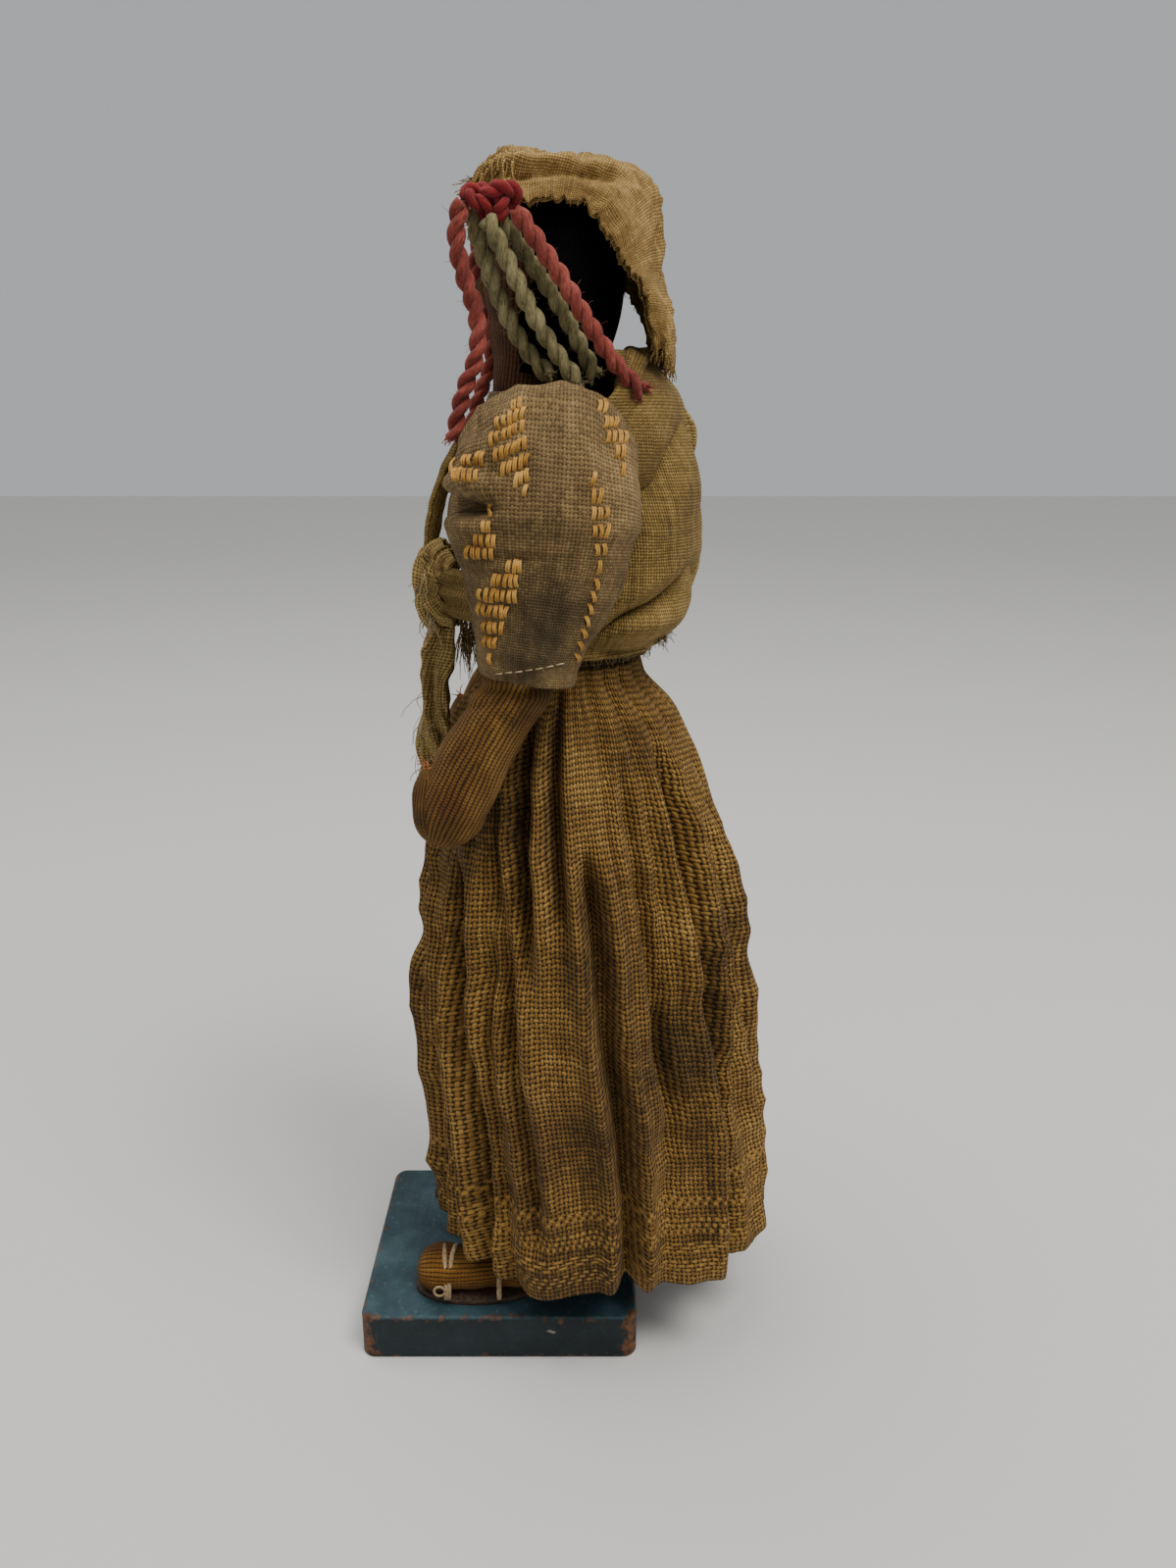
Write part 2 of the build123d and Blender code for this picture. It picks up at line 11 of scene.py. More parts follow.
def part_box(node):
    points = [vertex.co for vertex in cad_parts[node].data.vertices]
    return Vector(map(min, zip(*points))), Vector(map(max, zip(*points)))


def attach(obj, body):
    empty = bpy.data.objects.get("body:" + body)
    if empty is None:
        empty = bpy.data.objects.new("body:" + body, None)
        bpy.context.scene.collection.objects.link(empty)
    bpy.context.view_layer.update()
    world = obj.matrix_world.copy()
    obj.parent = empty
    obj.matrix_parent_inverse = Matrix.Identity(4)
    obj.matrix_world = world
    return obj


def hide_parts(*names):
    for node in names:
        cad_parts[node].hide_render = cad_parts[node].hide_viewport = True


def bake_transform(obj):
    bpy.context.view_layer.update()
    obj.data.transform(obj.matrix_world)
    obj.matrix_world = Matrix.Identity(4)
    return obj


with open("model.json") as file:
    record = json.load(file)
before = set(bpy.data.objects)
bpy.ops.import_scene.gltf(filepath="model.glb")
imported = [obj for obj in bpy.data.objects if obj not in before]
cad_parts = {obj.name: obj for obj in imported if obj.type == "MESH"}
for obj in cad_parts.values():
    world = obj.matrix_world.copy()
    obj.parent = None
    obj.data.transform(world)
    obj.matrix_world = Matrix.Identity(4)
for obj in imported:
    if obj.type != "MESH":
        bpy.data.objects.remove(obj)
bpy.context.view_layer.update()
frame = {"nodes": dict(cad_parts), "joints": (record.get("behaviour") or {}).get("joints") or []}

# Every number below is in millimetres unless its name says otherwise. Blender works in metres.
mm = 0.001
chance = random.Random(7)


def low(node):
    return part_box(node)[0] / mm


def high(node):
    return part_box(node)[1] / mm


shoulder = next(j for j in frame["joints"] if j["name"] == "left_shoulder")["pos_m"]
shoulderY, shoulderZ = shoulder[1] / mm, shoulder[2] / mm
boardTop = high("base_board").z
waistZ, hemZ = high("skirt").z, low("skirt").z
neckZ = high("torso_skin").z
crownZ = high("head_skin").z
spineY = high("spine_wire").y - 0.8
armX = high("left_arm_wire").x - 0.8
sleevePlane = low("left_sleeve").x


# ---- shader helpers ----
def calc(tree, operation, first, second=None, third=None):
    node = tree.nodes.new("ShaderNodeMath")
    node.operation = operation
    for socket, value in zip(node.inputs, (first, second, third)):
        if isinstance(value, (int, float)):
            socket.default_value = value
        elif value is not None:
            tree.links.new(value, socket)
    return node.outputs[0]


def newMaterial(name, roughness, sheen=0.0, specular=0.2):
    material = bpy.data.materials.new(name)
    material.use_nodes = True
    tree = material.node_tree
    shader = tree.nodes["Principled BSDF"]
    shader.inputs["Roughness"].default_value = roughness
    shader.inputs["Specular IOR Level"].default_value = specular
    shader.inputs["Sheen Weight"].default_value = sheen
    shader.inputs["Sheen Roughness"].default_value = 0.6
    return material, tree, shader


def noiseAt(tree, vector, scale, detail=3.0, rough=0.55):
    node = tree.nodes.new("ShaderNodeTexNoise")
    node.inputs["Scale"].default_value = scale
    node.inputs["Detail"].default_value = detail
    node.inputs["Roughness"].default_value = rough
    tree.links.new(vector, node.inputs["Vector"])
    return node.outputs["Fac"]


def scaled(tree, vector, scale, location=(0, 0, 0)):
    node = tree.nodes.new("ShaderNodeMapping")
    node.inputs["Scale"].default_value = scale
    node.inputs["Location"].default_value = location
    tree.links.new(vector, node.inputs["Vector"])
    return node.outputs["Vector"]


def objectPoint(tree):
    return tree.nodes.new("ShaderNodeTexCoord").outputs["Object"]


def clothPoint(tree):
    node = tree.nodes.new("ShaderNodeUVMap")
    node.uv_map = "cloth"
    return node.outputs["UV"]


def apart(tree, vector):
    node = tree.nodes.new("ShaderNodeSeparateXYZ")
    tree.links.new(vector, node.inputs[0])
    return node.outputs


def ramp(tree, value, stops):
    node = tree.nodes.new("ShaderNodeValToRGB")
    while len(node.color_ramp.elements) < len(stops):
        node.color_ramp.elements.new(0.5)
    for element, (position, colour) in zip(node.color_ramp.elements, stops):
        element.position = position
        element.color = (*colour, 1)
    tree.links.new(value, node.inputs["Fac"])
    return node.outputs["Color"]


def mixed(tree, kind, share, first, second):
    node = tree.nodes.new("ShaderNodeMix")
    node.data_type = "RGBA"
    node.blend_type = kind
    for socket, value in zip((node.inputs[0], node.inputs[6], node.inputs[7]), (share, first, second)):
        if isinstance(value, (int, float)):
            socket.default_value = value
        elif isinstance(value, tuple):
            socket.default_value = (*value, 1)
        else:
            tree.links.new(value, socket)
    return node.outputs[2]


def mask(tree, value, start, end):
    node = tree.nodes.new("ShaderNodeMapRange")
    node.interpolation_type = "SMOOTHSTEP"
    node.inputs["From Min"].default_value = start
    node.inputs["From Max"].default_value = end
    tree.links.new(value, node.inputs["Value"])
    return node.outputs["Result"]


def addBump(tree, shader, height, strength, distance):
    node = tree.nodes.new("ShaderNodeBump")
    node.inputs["Strength"].default_value = strength
    node.inputs["Distance"].default_value = distance
    tree.links.new(height, node.inputs["Height"])
    tree.links.new(node.outputs["Normal"], shader.inputs["Normal"])


def grey(tree, value):
    node = tree.nodes.new("ShaderNodeCombineColor")
    for socket in node.inputs[:3]:
        tree.links.new(value, socket)
    return node.outputs[0]


# ---- cloth materials ----
def weaveThreads(tree, look):
    # threads across and along the cloth, each with its own wobble; returns height, tint and position
    point = clothPoint(tree)
    parts = apart(tree, point)
    wobble = calc(tree, "MULTIPLY", calc(tree, "SUBTRACT", noiseAt(tree, point, 240, 2), 0.5), look["wobble"])
    slubs = calc(tree, "MULTIPLY", calc(tree, "SUBTRACT", noiseAt(tree, scaled(tree, point, (900, 60, 1)), 1, 2), 0.5), look["wobble"])
    x = calc(tree, "ADD", calc(tree, "DIVIDE", parts["X"], look["pitch"] * mm), wobble)
    y = calc(tree, "ADD", calc(tree, "DIVIDE", parts["Y"], look["pitch"] * look.get("weftRatio", 1.0) * mm), slubs)
    sineX = calc(tree, "SINE", calc(tree, "MULTIPLY", x, math.pi))
    sineY = calc(tree, "SINE", calc(tree, "MULTIPLY", y, math.pi))
    over = calc(tree, "MULTIPLY", sineX, sineY)
    warp = calc(tree, "POWER", calc(tree, "ABSOLUTE", sineX), look["round"])
    weft = calc(tree, "POWER", calc(tree, "ABSOLUTE", sineY), look["round"])
    warp = calc(tree, "MULTIPLY", warp, calc(tree, "MULTIPLY_ADD", over, 0.4, 0.62))
    weft = calc(tree, "MULTIPLY", weft, calc(tree, "MULTIPLY_ADD", over, -0.4, 0.62))
    height = calc(tree, "MAXIMUM", warp, weft)
    warpTint = tree.nodes.new("ShaderNodeTexWhiteNoise")
    warpTint.noise_dimensions = "1D"
    tree.links.new(calc(tree, "FLOOR", x), warpTint.inputs["W"])
    weftTint = tree.nodes.new("ShaderNodeTexWhiteNoise")
    weftTint.noise_dimensions = "1D"
    tree.links.new(calc(tree, "ADD", calc(tree, "FLOOR", y), 0.37), weftTint.inputs["W"])
    tint = calc(tree, "MULTIPLY", calc(tree, "ADD", warpTint.outputs["Value"], weftTint.outputs["Value"]), 0.5)
    cell = tree.nodes.new("ShaderNodeCombineXYZ")
    tree.links.new(calc(tree, "FLOOR", x), cell.inputs[0])
    tree.links.new(calc(tree, "FLOOR", y), cell.inputs[1])
    fleck = tree.nodes.new("ShaderNodeTexWhiteNoise")
    fleck.noise_dimensions = "2D"
    tree.links.new(cell.outputs[0], fleck.inputs["Vector"])
    tint = calc(tree, "MULTIPLY_ADD", tint, 0.5, calc(tree, "MULTIPLY", fleck.outputs["Value"], 0.5))
    return point, height, tint


def stainedAndShaded(tree, colour, stainsAndShade):
    # each stain or patch of painted shade: object-space centre, radius, colour, strength, with a ragged edge
    point = objectPoint(tree)
    ragged = noiseAt(tree, point, 260, 3)
    for centre, radius, tone, strength in stainsAndShade:
        offset = tree.nodes.new("ShaderNodeVectorMath")
        offset.operation = "DISTANCE"
        offset.inputs[1].default_value = [c * mm for c in centre]
        tree.links.new(point, offset.inputs[0])
        reach = calc(tree, "ADD", offset.outputs["Value"], calc(tree, "MULTIPLY", ragged, radius * mm))
        share = calc(tree, "MULTIPLY", mask(tree, reach, radius * 1.5 * mm, radius * 0.6 * mm), strength)
        colour = mixed(tree, "MIX", share, colour, tone)
    return colour


def weaveMaterial(name, look, extra=None):
    material, tree, shader = newMaterial(name, look["roughness"], look.get("sheen", 0.3))
    point, height, tint = weaveThreads(tree, look)
    cloud = noiseAt(tree, objectPoint(tree), look.get("cloudScale", 55), 4, 0.6)
    streak = noiseAt(tree, scaled(tree, point, (700, 26, 1)), 1, 3)
    cloudShare = look.get("cloudShare", 0.6)
    tone = calc(tree, "ADD", calc(tree, "MULTIPLY", tint, look["threadShare"]), calc(tree, "MULTIPLY", cloud, cloudShare))
    tone = calc(tree, "ADD", tone, calc(tree, "MULTIPLY", streak, 0.35))
    tone = calc(tree, "SUBTRACT", tone, (look["threadShare"] + cloudShare) * 0.5 - 0.32)
    colour = ramp(tree, tone, [(0.25, look["dark"]), (0.5, look["base"]), (0.75, look["light"])])
    if extra:
        colour, height = extra(tree, point, colour, height)
    colour = stainedAndShaded(tree, colour, look.get("stainsAndShade", []))
    shade = mask(tree, height, look["gapFrom"], look["gapTo"])
    shade = calc(tree, "MULTIPLY_ADD", shade, 1 - look["gap"], look["gap"])
    colour = mixed(tree, "MULTIPLY", 1.0, colour, grey(tree, shade))
    tree.links.new(colour, shader.inputs["Base Color"])
    fuzz = noiseAt(tree, objectPoint(tree), 2600, 2)
    relief = calc(tree, "MULTIPLY_ADD", fuzz, look.get("fuzz", 0.25), height)
    addBump(tree, shader, relief, look["bump"], look["pitch"] * 0.45 * mm)
    return material


def knitMaterial(name, look):
    # ribs along the cloth, each a chain of stitches
    material, tree, shader = newMaterial(name, look["roughness"], 0.02)
    point = clothPoint(tree)
    parts = apart(tree, point)
    wobble = calc(tree, "MULTIPLY", calc(tree, "SUBTRACT", noiseAt(tree, point, 130, 2), 0.5), 0.9)
    x = calc(tree, "ADD", calc(tree, "DIVIDE", parts["X"], look["rib"] * mm), wobble)
    rib = calc(tree, "ABSOLUTE", calc(tree, "SINE", calc(tree, "MULTIPLY", x, math.pi)))
    lean = calc(tree, "ABSOLUTE", calc(tree, "SUBTRACT", calc(tree, "FRACT", x), 0.5))
    y = calc(tree, "ADD", calc(tree, "DIVIDE", parts["Y"], look["stitch"] * mm), calc(tree, "MULTIPLY", lean, 1.6))
    chain = calc(tree, "MULTIPLY_ADD", calc(tree, "SINE", calc(tree, "MULTIPLY", y, math.tau)), 0.22, 0.78)
    height = calc(tree, "MULTIPLY", calc(tree, "POWER", rib, 0.7), chain)
    cloud = noiseAt(tree, objectPoint(tree), 90, 4, 0.6)
    streak = noiseAt(tree, scaled(tree, point, (600, 60, 1)), 1, 3)
    tone = calc(tree, "ADD", calc(tree, "MULTIPLY", cloud, 0.7), calc(tree, "MULTIPLY", streak, 0.3))
    colour = ramp(tree, tone, [(0.3, look["dark"]), (0.5, look["base"]), (0.72, look["light"])])
    colour = stainedAndShaded(tree, colour, look.get("stainsAndShade", []))
    shade = calc(tree, "MULTIPLY_ADD", mask(tree, height, 0.15, 0.75), 1 - look["gap"], look["gap"])
    colour = mixed(tree, "MULTIPLY", 1.0, colour, grey(tree, shade))
    tree.links.new(colour, shader.inputs["Base Color"])
    addBump(tree, shader, height, look["bump"], look["rib"] * 0.5 * mm)
    return material


def threadMaterial(name, dark, base, light, gap=0.55, grain=3200):
    # fibres that run along the strand
    material, tree, shader = newMaterial(name, 0.9, 0.08)
    point = clothPoint(tree)
    fibre = noiseAt(tree, scaled(tree, point, (5200, 900, 1)), 1, 3, 0.6)
    cloud = noiseAt(tree, objectPoint(tree), 190, 3)
    tone = calc(tree, "ADD", calc(tree, "MULTIPLY", cloud, 0.6), calc(tree, "MULTIPLY", fibre, 0.4))
    colour = ramp(tree, tone, [(0.32, dark), (0.5, base), (0.7, light)])
    shade = calc(tree, "MULTIPLY_ADD", mask(tree, fibre, 0.3, 0.6), 1 - gap, gap)
    colour = mixed(tree, "MULTIPLY", 1.0, colour, grey(tree, shade))
    tree.links.new(colour, shader.inputs["Base Color"])
    height = calc(tree, "ADD", fibre, noiseAt(tree, objectPoint(tree), grain, 2))
    addBump(tree, shader, height, 0.6, 0.0002)
    return material


# ---- mesh helpers ----
def addObject(name, mesh, material, body):
    bm = bmesh.new()
    bm.from_mesh(mesh)
    for face in bm.faces:
        face.smooth = True
    bm.to_mesh(mesh)
    bm.free()
    obj = bpy.data.objects.new(name, mesh)
    bpy.context.collection.objects.link(obj)
    mesh.materials.append(material)
    if body:
        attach(obj, body)
    return obj


def clothGrid(columns, rows, width, length, place, closed=False, poles=False):
    # a grid moved into place point by point; its UV map holds the cloth's own metres
    bm = bmesh.new()
    bmesh.ops.create_grid(bm, x_segments=columns, y_segments=rows, size=0.5)
    uv = bm.loops.layers.uv.new("cloth")
    for face in bm.faces:
        for loop in face.loops:
            co = loop.vert.co
            loop[uv].uv = ((co.x + 0.5) * width * mm, (co.y + 0.5) * length * mm)
    for vert in bm.verts:
        vert.co = place(vert.co.x + 0.5, vert.co.y + 0.5) * mm
    if closed or poles:
        bmesh.ops.remove_doubles(bm, verts=bm.verts, dist=0.002 * mm)
    if closed:
        bmesh.ops.recalc_face_normals(bm, faces=bm.faces)
    return bm


def meshFrom(name, bm):
    mesh = bpy.data.meshes.new(name)
    bm.to_mesh(mesh)
    bm.free()
    return mesh


def thicken(obj, thickness, offset=-1.0):
    solid = obj.modifiers.new("thickness", "SOLIDIFY")
    solid.thickness = thickness * mm
    solid.offset = offset
    return obj


def rowAt(rows, t):
    # a smooth curve through rows of numbers, whose first number is where along the piece they hold
    last = len(rows) - 1
    span = 0
    while span < last - 1 and t > rows[span + 1][0]:
        span += 1
    a, b = rows[span], rows[span + 1]
    before, after = rows[max(span - 1, 0)], rows[min(span + 2, last)]
    step = b[0] - a[0]
    s = min(max((t - a[0]) / step, 0.0), 1.0)
    result = []
    for p, q, r, w in zip(before[1:], a[1:], b[1:], after[1:]):
        startSlope = (r - p) / (b[0] - before[0]) * step
        endSlope = (w - q) / (after[0] - a[0]) * step
        result.append(
            q * (1 + 2 * s) * (1 - s) ** 2 + r * s * s * (3 - 2 * s)
            + startSlope * s * (1 - s) ** 2 - endSlope * s * s * (1 - s)
        )
    return result


def tubePoint(rings, reference, around, t, push=0.0):
    # rings: (t, x, y, z, half width along the reference, half depth across it)
    x, y, z, wide, deep = rowAt(rings, t)
    ahead, behind = rowAt(rings, min(t + 0.004, 1.0)), rowAt(rings, max(t - 0.004, 0.0))
    tangent = (Vector(ahead[:3]) - Vector(behind[:3])).normalized()
    first = Vector(reference)
    first = (first - tangent * first.dot(tangent)).normalized()
    second = tangent.cross(first)
    angle = around * math.tau
    return Vector((x, y, z)) + first * (wide + push) * math.cos(angle) + second * (deep + push) * math.sin(angle)


def bump(value, centre, width):
    return math.exp(-((value - centre) / width) ** 2)


def wrinkle(point, size, amount):
    return noise.noise(Vector(point) / size) * amount


def crumple(point, size, amount):
    # sharp creases between soft swells
    return (0.35 - 2 * abs(noise.noise(Vector(point) / size))) * amount


def surfaceOf(obj):
    graph = bpy.context.evaluated_depsgraph_get()
    return BVHTree.FromObject(obj, graph)


def onSurface(tree, origin, direction):
    hit, normal, index, distance = tree.ray_cast(Vector(origin) * mm, Vector(direction))
    return (hit / mm, normal) if hit else (None, None)


def threadMesh(bm, points, radius, sides=5, taper=0.0):
    # a thin round thread through points, added to bm, with fibres along its UV
    uv = bm.loops.layers.uv.get("cloth") or bm.loops.layers.uv.new("cloth")
    rings, travelled = [], 0.0
    side = Vector((0.31, 0.87, 0.38))
    for index, point in enumerate(points):
        ahead = points[min(index + 1, len(points) - 1)]
        behind = points[max(index - 1, 0)]
        tangent = (ahead - behind).normalized()
        first = tangent.cross(side)
        first = first.normalized() if first.length > 0.05 else tangent.orthogonal().normalized()
        side = first.cross(tangent)
        share = index / (len(points) - 1)
        r = radius * (1 - taper * share)
        ring = [
            bm.verts.new((point + (first * math.cos(a) + side * math.sin(a)) * r) * mm)
            for a in (math.tau * k / sides for k in range(sides))
        ]
        if index:
            travelled += (point - points[index - 1]).length
        rings.append((ring, travelled))
    for (ring, start), (other, end) in zip(rings, rings[1:]):
        for k in range(sides):
            n = (k + 1) % sides
            face = bm.faces.new((ring[k], ring[n], other[n], other[k]))
            for loop, (u, v) in zip(face.loops, ((k, start), (k + 1, start), (k + 1, end), (k, end))):
                loop[uv].uv = (u * radius * mm, v * mm)
    bm.faces.new(list(reversed(rings[0][0])))
    bm.faces.new(rings[-1][0])


def curlyThread(start, direction, length, curl, steps=9, droop=0.0):
    # one loose thread end, which wanders and droops
    points, heading, seed = [Vector(start)], Vector(direction).normalized(), chance.random() * 90
    for step in range(steps):
        swerve = noise.noise_vector(Vector((seed, step * 0.45, 0.3))) * curl
        heading = (heading + swerve + Vector((0, 0, -droop))).normalized()
        points.append(points[-1] + heading * (length / steps))
    return points


def fray(name, roots, material, body, radius=0.14, spread=0.5, length=4.0, curl=0.5, droop=0.12):
    # loose thread ends from each root, a place and the way that they stand out
    bm = bmesh.new()
    for place, outward in roots:
        way = Vector(outward) + Vector([chance.uniform(-spread, spread) for _ in range(3)])
        reach = length * chance.uniform(0.45, 1.25)
        threadMesh(bm, curlyThread(place, way, reach, curl, droop=droop), radius, 4, 0.5)
    return addObject(name, meshFrom(name, bm), material, body)


# ---- the board ----
boardLook = {"paint": (0.013, 0.033, 0.041), "paintDark": (0.006, 0.015, 0.02), "paintLight": (0.03, 0.06, 0.07),
             "wood": (0.15, 0.06, 0.018), "woodDark": (0.04, 0.014, 0.005), "chip": (0.24, 0.22, 0.18)}


def paintedWood():
    material, tree, shader = newMaterial("wornTealPaint", 0.62, 0.0, 0.35)
    point = objectPoint(tree)
    parts = apart(tree, point)
    edgeX = calc(tree, "SUBTRACT", high("base_board").x * mm, calc(tree, "ABSOLUTE", parts["X"]))
    edgeY = calc(tree, "SUBTRACT", high("base_board").y * mm, calc(tree, "ABSOLUTE", parts["Y"]))
    edgeZ = calc(tree, "MINIMUM", calc(tree, "SUBTRACT", boardTop * mm, parts["Z"]), parts["Z"])
    nearest = calc(tree, "ADD", calc(tree, "MINIMUM", edgeX, edgeY), edgeZ)
    corner = calc(tree, "ADD", edgeX, edgeY)
    rough = noiseAt(tree, point, 420, 5, 0.65)
    broad = noiseAt(tree, point, 95, 3)
    grain = noiseAt(tree, scaled(tree, point, (30, 900, 900)), 1, 4)
    paint = ramp(tree, broad, [(0.3, boardLook["paintDark"]), (0.52, boardLook["paint"]), (0.75, boardLook["paintLight"])])
    dust = mask(tree, noiseAt(tree, point, 900, 4, 0.7), 0.55, 0.75)
    paint = mixed(tree, "MIX", calc(tree, "MULTIPLY", dust, 0.35), paint, (0.1, 0.14, 0.15))
    # painted light and shade: the board's top is painted lighter and its sides darker
    paintedLightTop = mask(tree, parts["Z"], (boardTop - 0.7) * mm, (boardTop - 0.1) * mm)
    paint = mixed(tree, "MULTIPLY", 1.0, paint, grey(tree, calc(tree, "MULTIPLY_ADD", paintedLightTop, 1.2, 0.35)))
    wood = ramp(tree, grain, [(0.35, boardLook["woodDark"]), (0.65, boardLook["wood"])])
    wearEdge = calc(tree, "ADD", nearest, calc(tree, "MULTIPLY", calc(tree, "SUBTRACT", rough, 0.47), 0.009))
    worn = calc(tree, "MULTIPLY", mask(tree, wearEdge, 0.0009, 0.0001), 0.6)
    backLow = calc(tree, "ADD", calc(tree, "SUBTRACT", high("base_board").y * mm, parts["Y"]), calc(tree, "MULTIPLY", parts["Z"], 0.9))
    backLow = calc(tree, "ADD", backLow, calc(tree, "MULTIPLY", calc(tree, "SUBTRACT", rough, 0.5), 0.012))
    worn = calc(tree, "MAXIMUM", worn, mask(tree, backLow, 0.0062, 0.0022))
    cornerWear = calc(tree, "ADD", corner, calc(tree, "MULTIPLY", calc(tree, "SUBTRACT", rough, 0.5), 0.01))
    worn = calc(tree, "MAXIMUM", worn, mask(tree, cornerWear, 0.0034, 0.0018))
    chips = mask(tree, noiseAt(tree, scaled(tree, point, (1, 1, 1.6)), 210, 2), 0.735, 0.76)
    colour = mixed(tree, "MIX", worn, paint, wood)
    colour = mixed(tree, "MIX", calc(tree, "MULTIPLY", chips, 0.8), colour, boardLook["chip"])
    tree.links.new(colour, shader.inputs["Base Color"])
    relief = calc(tree, "ADD", calc(tree, "MULTIPLY", grain, 0.5), calc(tree, "MULTIPLY", rough, 0.5))
    relief = calc(tree, "SUBTRACT", relief, calc(tree, "MULTIPLY", calc(tree, "MAXIMUM", worn, chips), 0.6))
    addBump(tree, shader, relief, 0.5, 0.0005)
    return material


board = frame["nodes"]["base_board"]
for slotIndex in range(max(1, len(board.data.materials))):
    if len(board.data.materials):
        board.data.materials[slotIndex] = paintedWood() if slotIndex == 0 else board.data.materials[0]
    else:
        board.data.materials.append(paintedWood())
print("board painted")

# ---- the cloths ----
skirtLook = {
    "pitch": 1.1, "wobble": 0.6, "round": 0.8, "threadShare": 0.26, "cloudShare": 0.9, "cloudScale": 38, "roughness": 0.92, "sheen": 0.02,
    "dark": (0.06, 0.028, 0.006), "base": (0.235, 0.125, 0.028), "light": (0.47, 0.28, 0.075),
    "gap": 0.05, "gapFrom": 0.25, "gapTo": 0.78, "bump": 1.0, "fuzz": 0.3,
    # the first patch, on the skirt behind and below the hand, is painted shadow from the hand and arm
    "stainsAndShade": [((30, -8, 118), 13, (0.05, 0.035, 0.012), 0.75), ((20, -17, 112), 9, (0.16, 0.03, 0.012), 0.5),
               ((14, 50, 98), 14, (0.03, 0.018, 0.008), 0.8), ((26, 38, 76), 13, (0.07, 0.045, 0.015), 0.5),
               ((31, 6, 62), 18, (0.13, 0.062, 0.02), 0.5)],
}


def hemPattern(tree, point, colour, height):
    # rows of raised weft floats above the hem
    parts = apart(tree, point)
    fromHem = parts["Y"]
    for start, end, period, thick in skirtSize["bands"]:
        band = calc(tree, "MULTIPLY", mask(tree, fromHem, (start - 0.3) * mm, start * mm), mask(tree, fromHem, (end + 0.3) * mm, end * mm))
        row = calc(tree, "FLOOR", calc(tree, "DIVIDE", fromHem, thick * mm))
        shift = calc(tree, "MULTIPLY", calc(tree, "MODULO", row, 3.0), 0.36)
        along = calc(tree, "ADD", calc(tree, "DIVIDE", parts["X"], period * mm), shift)
        dash = mask(tree, calc(tree, "SINE", calc(tree, "MULTIPLY", along, math.tau)), -0.25, 0.3)
        lift = calc(tree, "ABSOLUTE", calc(tree, "SINE", calc(tree, "MULTIPLY", calc(tree, "DIVIDE", fromHem, thick * mm), math.pi)))
        share = calc(tree, "MULTIPLY", calc(tree, "MULTIPLY", dash, band), mask(tree, lift, 0.2, 0.7))
        colour = mixed(tree, "MIX", calc(tree, "MULTIPLY", share, 0.65), colour, (0.34, 0.19, 0.045))
        height = calc(tree, "MAXIMUM", height, calc(tree, "MULTIPLY", share, 1.5))
    return colour, height


skirtSize = {"rows": 110, "columns": 340, "length": 131.0, "width": 300.0, "thickness": 0.55, "gathers": 23, "folds": 10,
             "gatherDepth": 1.5, "foldDepth": 5.0,
             "bands": [(3.0, 6.4, 2.6, 1.1), (8.0, 10.6, 4.2, 0.9), (12.6, 16.8, 1.7, 1.4), (19.0, 21.4, 2.2, 1.2)]}
skirtMaterial = weaveMaterial("coarseSkirtWeave", skirtLook, hemPattern)

# (share of the drop, centre behind the spine, half width, half depth)
skirtShape = [
    (0.0, 3.0, 15.0, 14.6), (0.03, 3.0, 16.2, 15.6), (0.084, 3.0, 20.4, 22.0), (0.197, 3.6, 25.2, 27.2),
    (0.383, 5.7, 29.4, 31.6), (0.56, 6.2, 32.0, 34.6), (0.77, 8.7, 33.0, 35.4), (1.0, 10.6, 33.0, 36.2),
]
# deep folds: angle round from the back, where each starts and ends down the skirt, its depth and width
deepFolds = [
    (1.86, 0.02, 0.5, 6.4, 0.055), (1.62, 0.0, 0.42, 5.4, 0.045), (1.43, 0.22, 1.1, 7.0, 0.055), (1.98, 0.3, 0.95, 3.8, 0.05),
    (2.35, 0.25, 1.1, 5.6, 0.06), (0.72, 0.1, 1.1, 6.4, 0.07), (1.1, 0.1, 0.75, 3.4, 0.05), (0.2, 0.2, 1.1, 3.8, 0.07), (2.9, 0.2, 1.1, 3.2, 0.07),
    (3.6, 0.1, 1.1, 3.6, 0.07), (4.4, 0.2, 1.1, 4.2, 0.08), (5.0, 0.0, 0.6, 3.6, 0.06), (5.7, 0.2, 1.1, 4.0, 0.08),
]


def fade(value, start, end):
    s = min(max((value - start) / (end - start), 0.0), 1.0)
    return s * s * (3 - 2 * s)


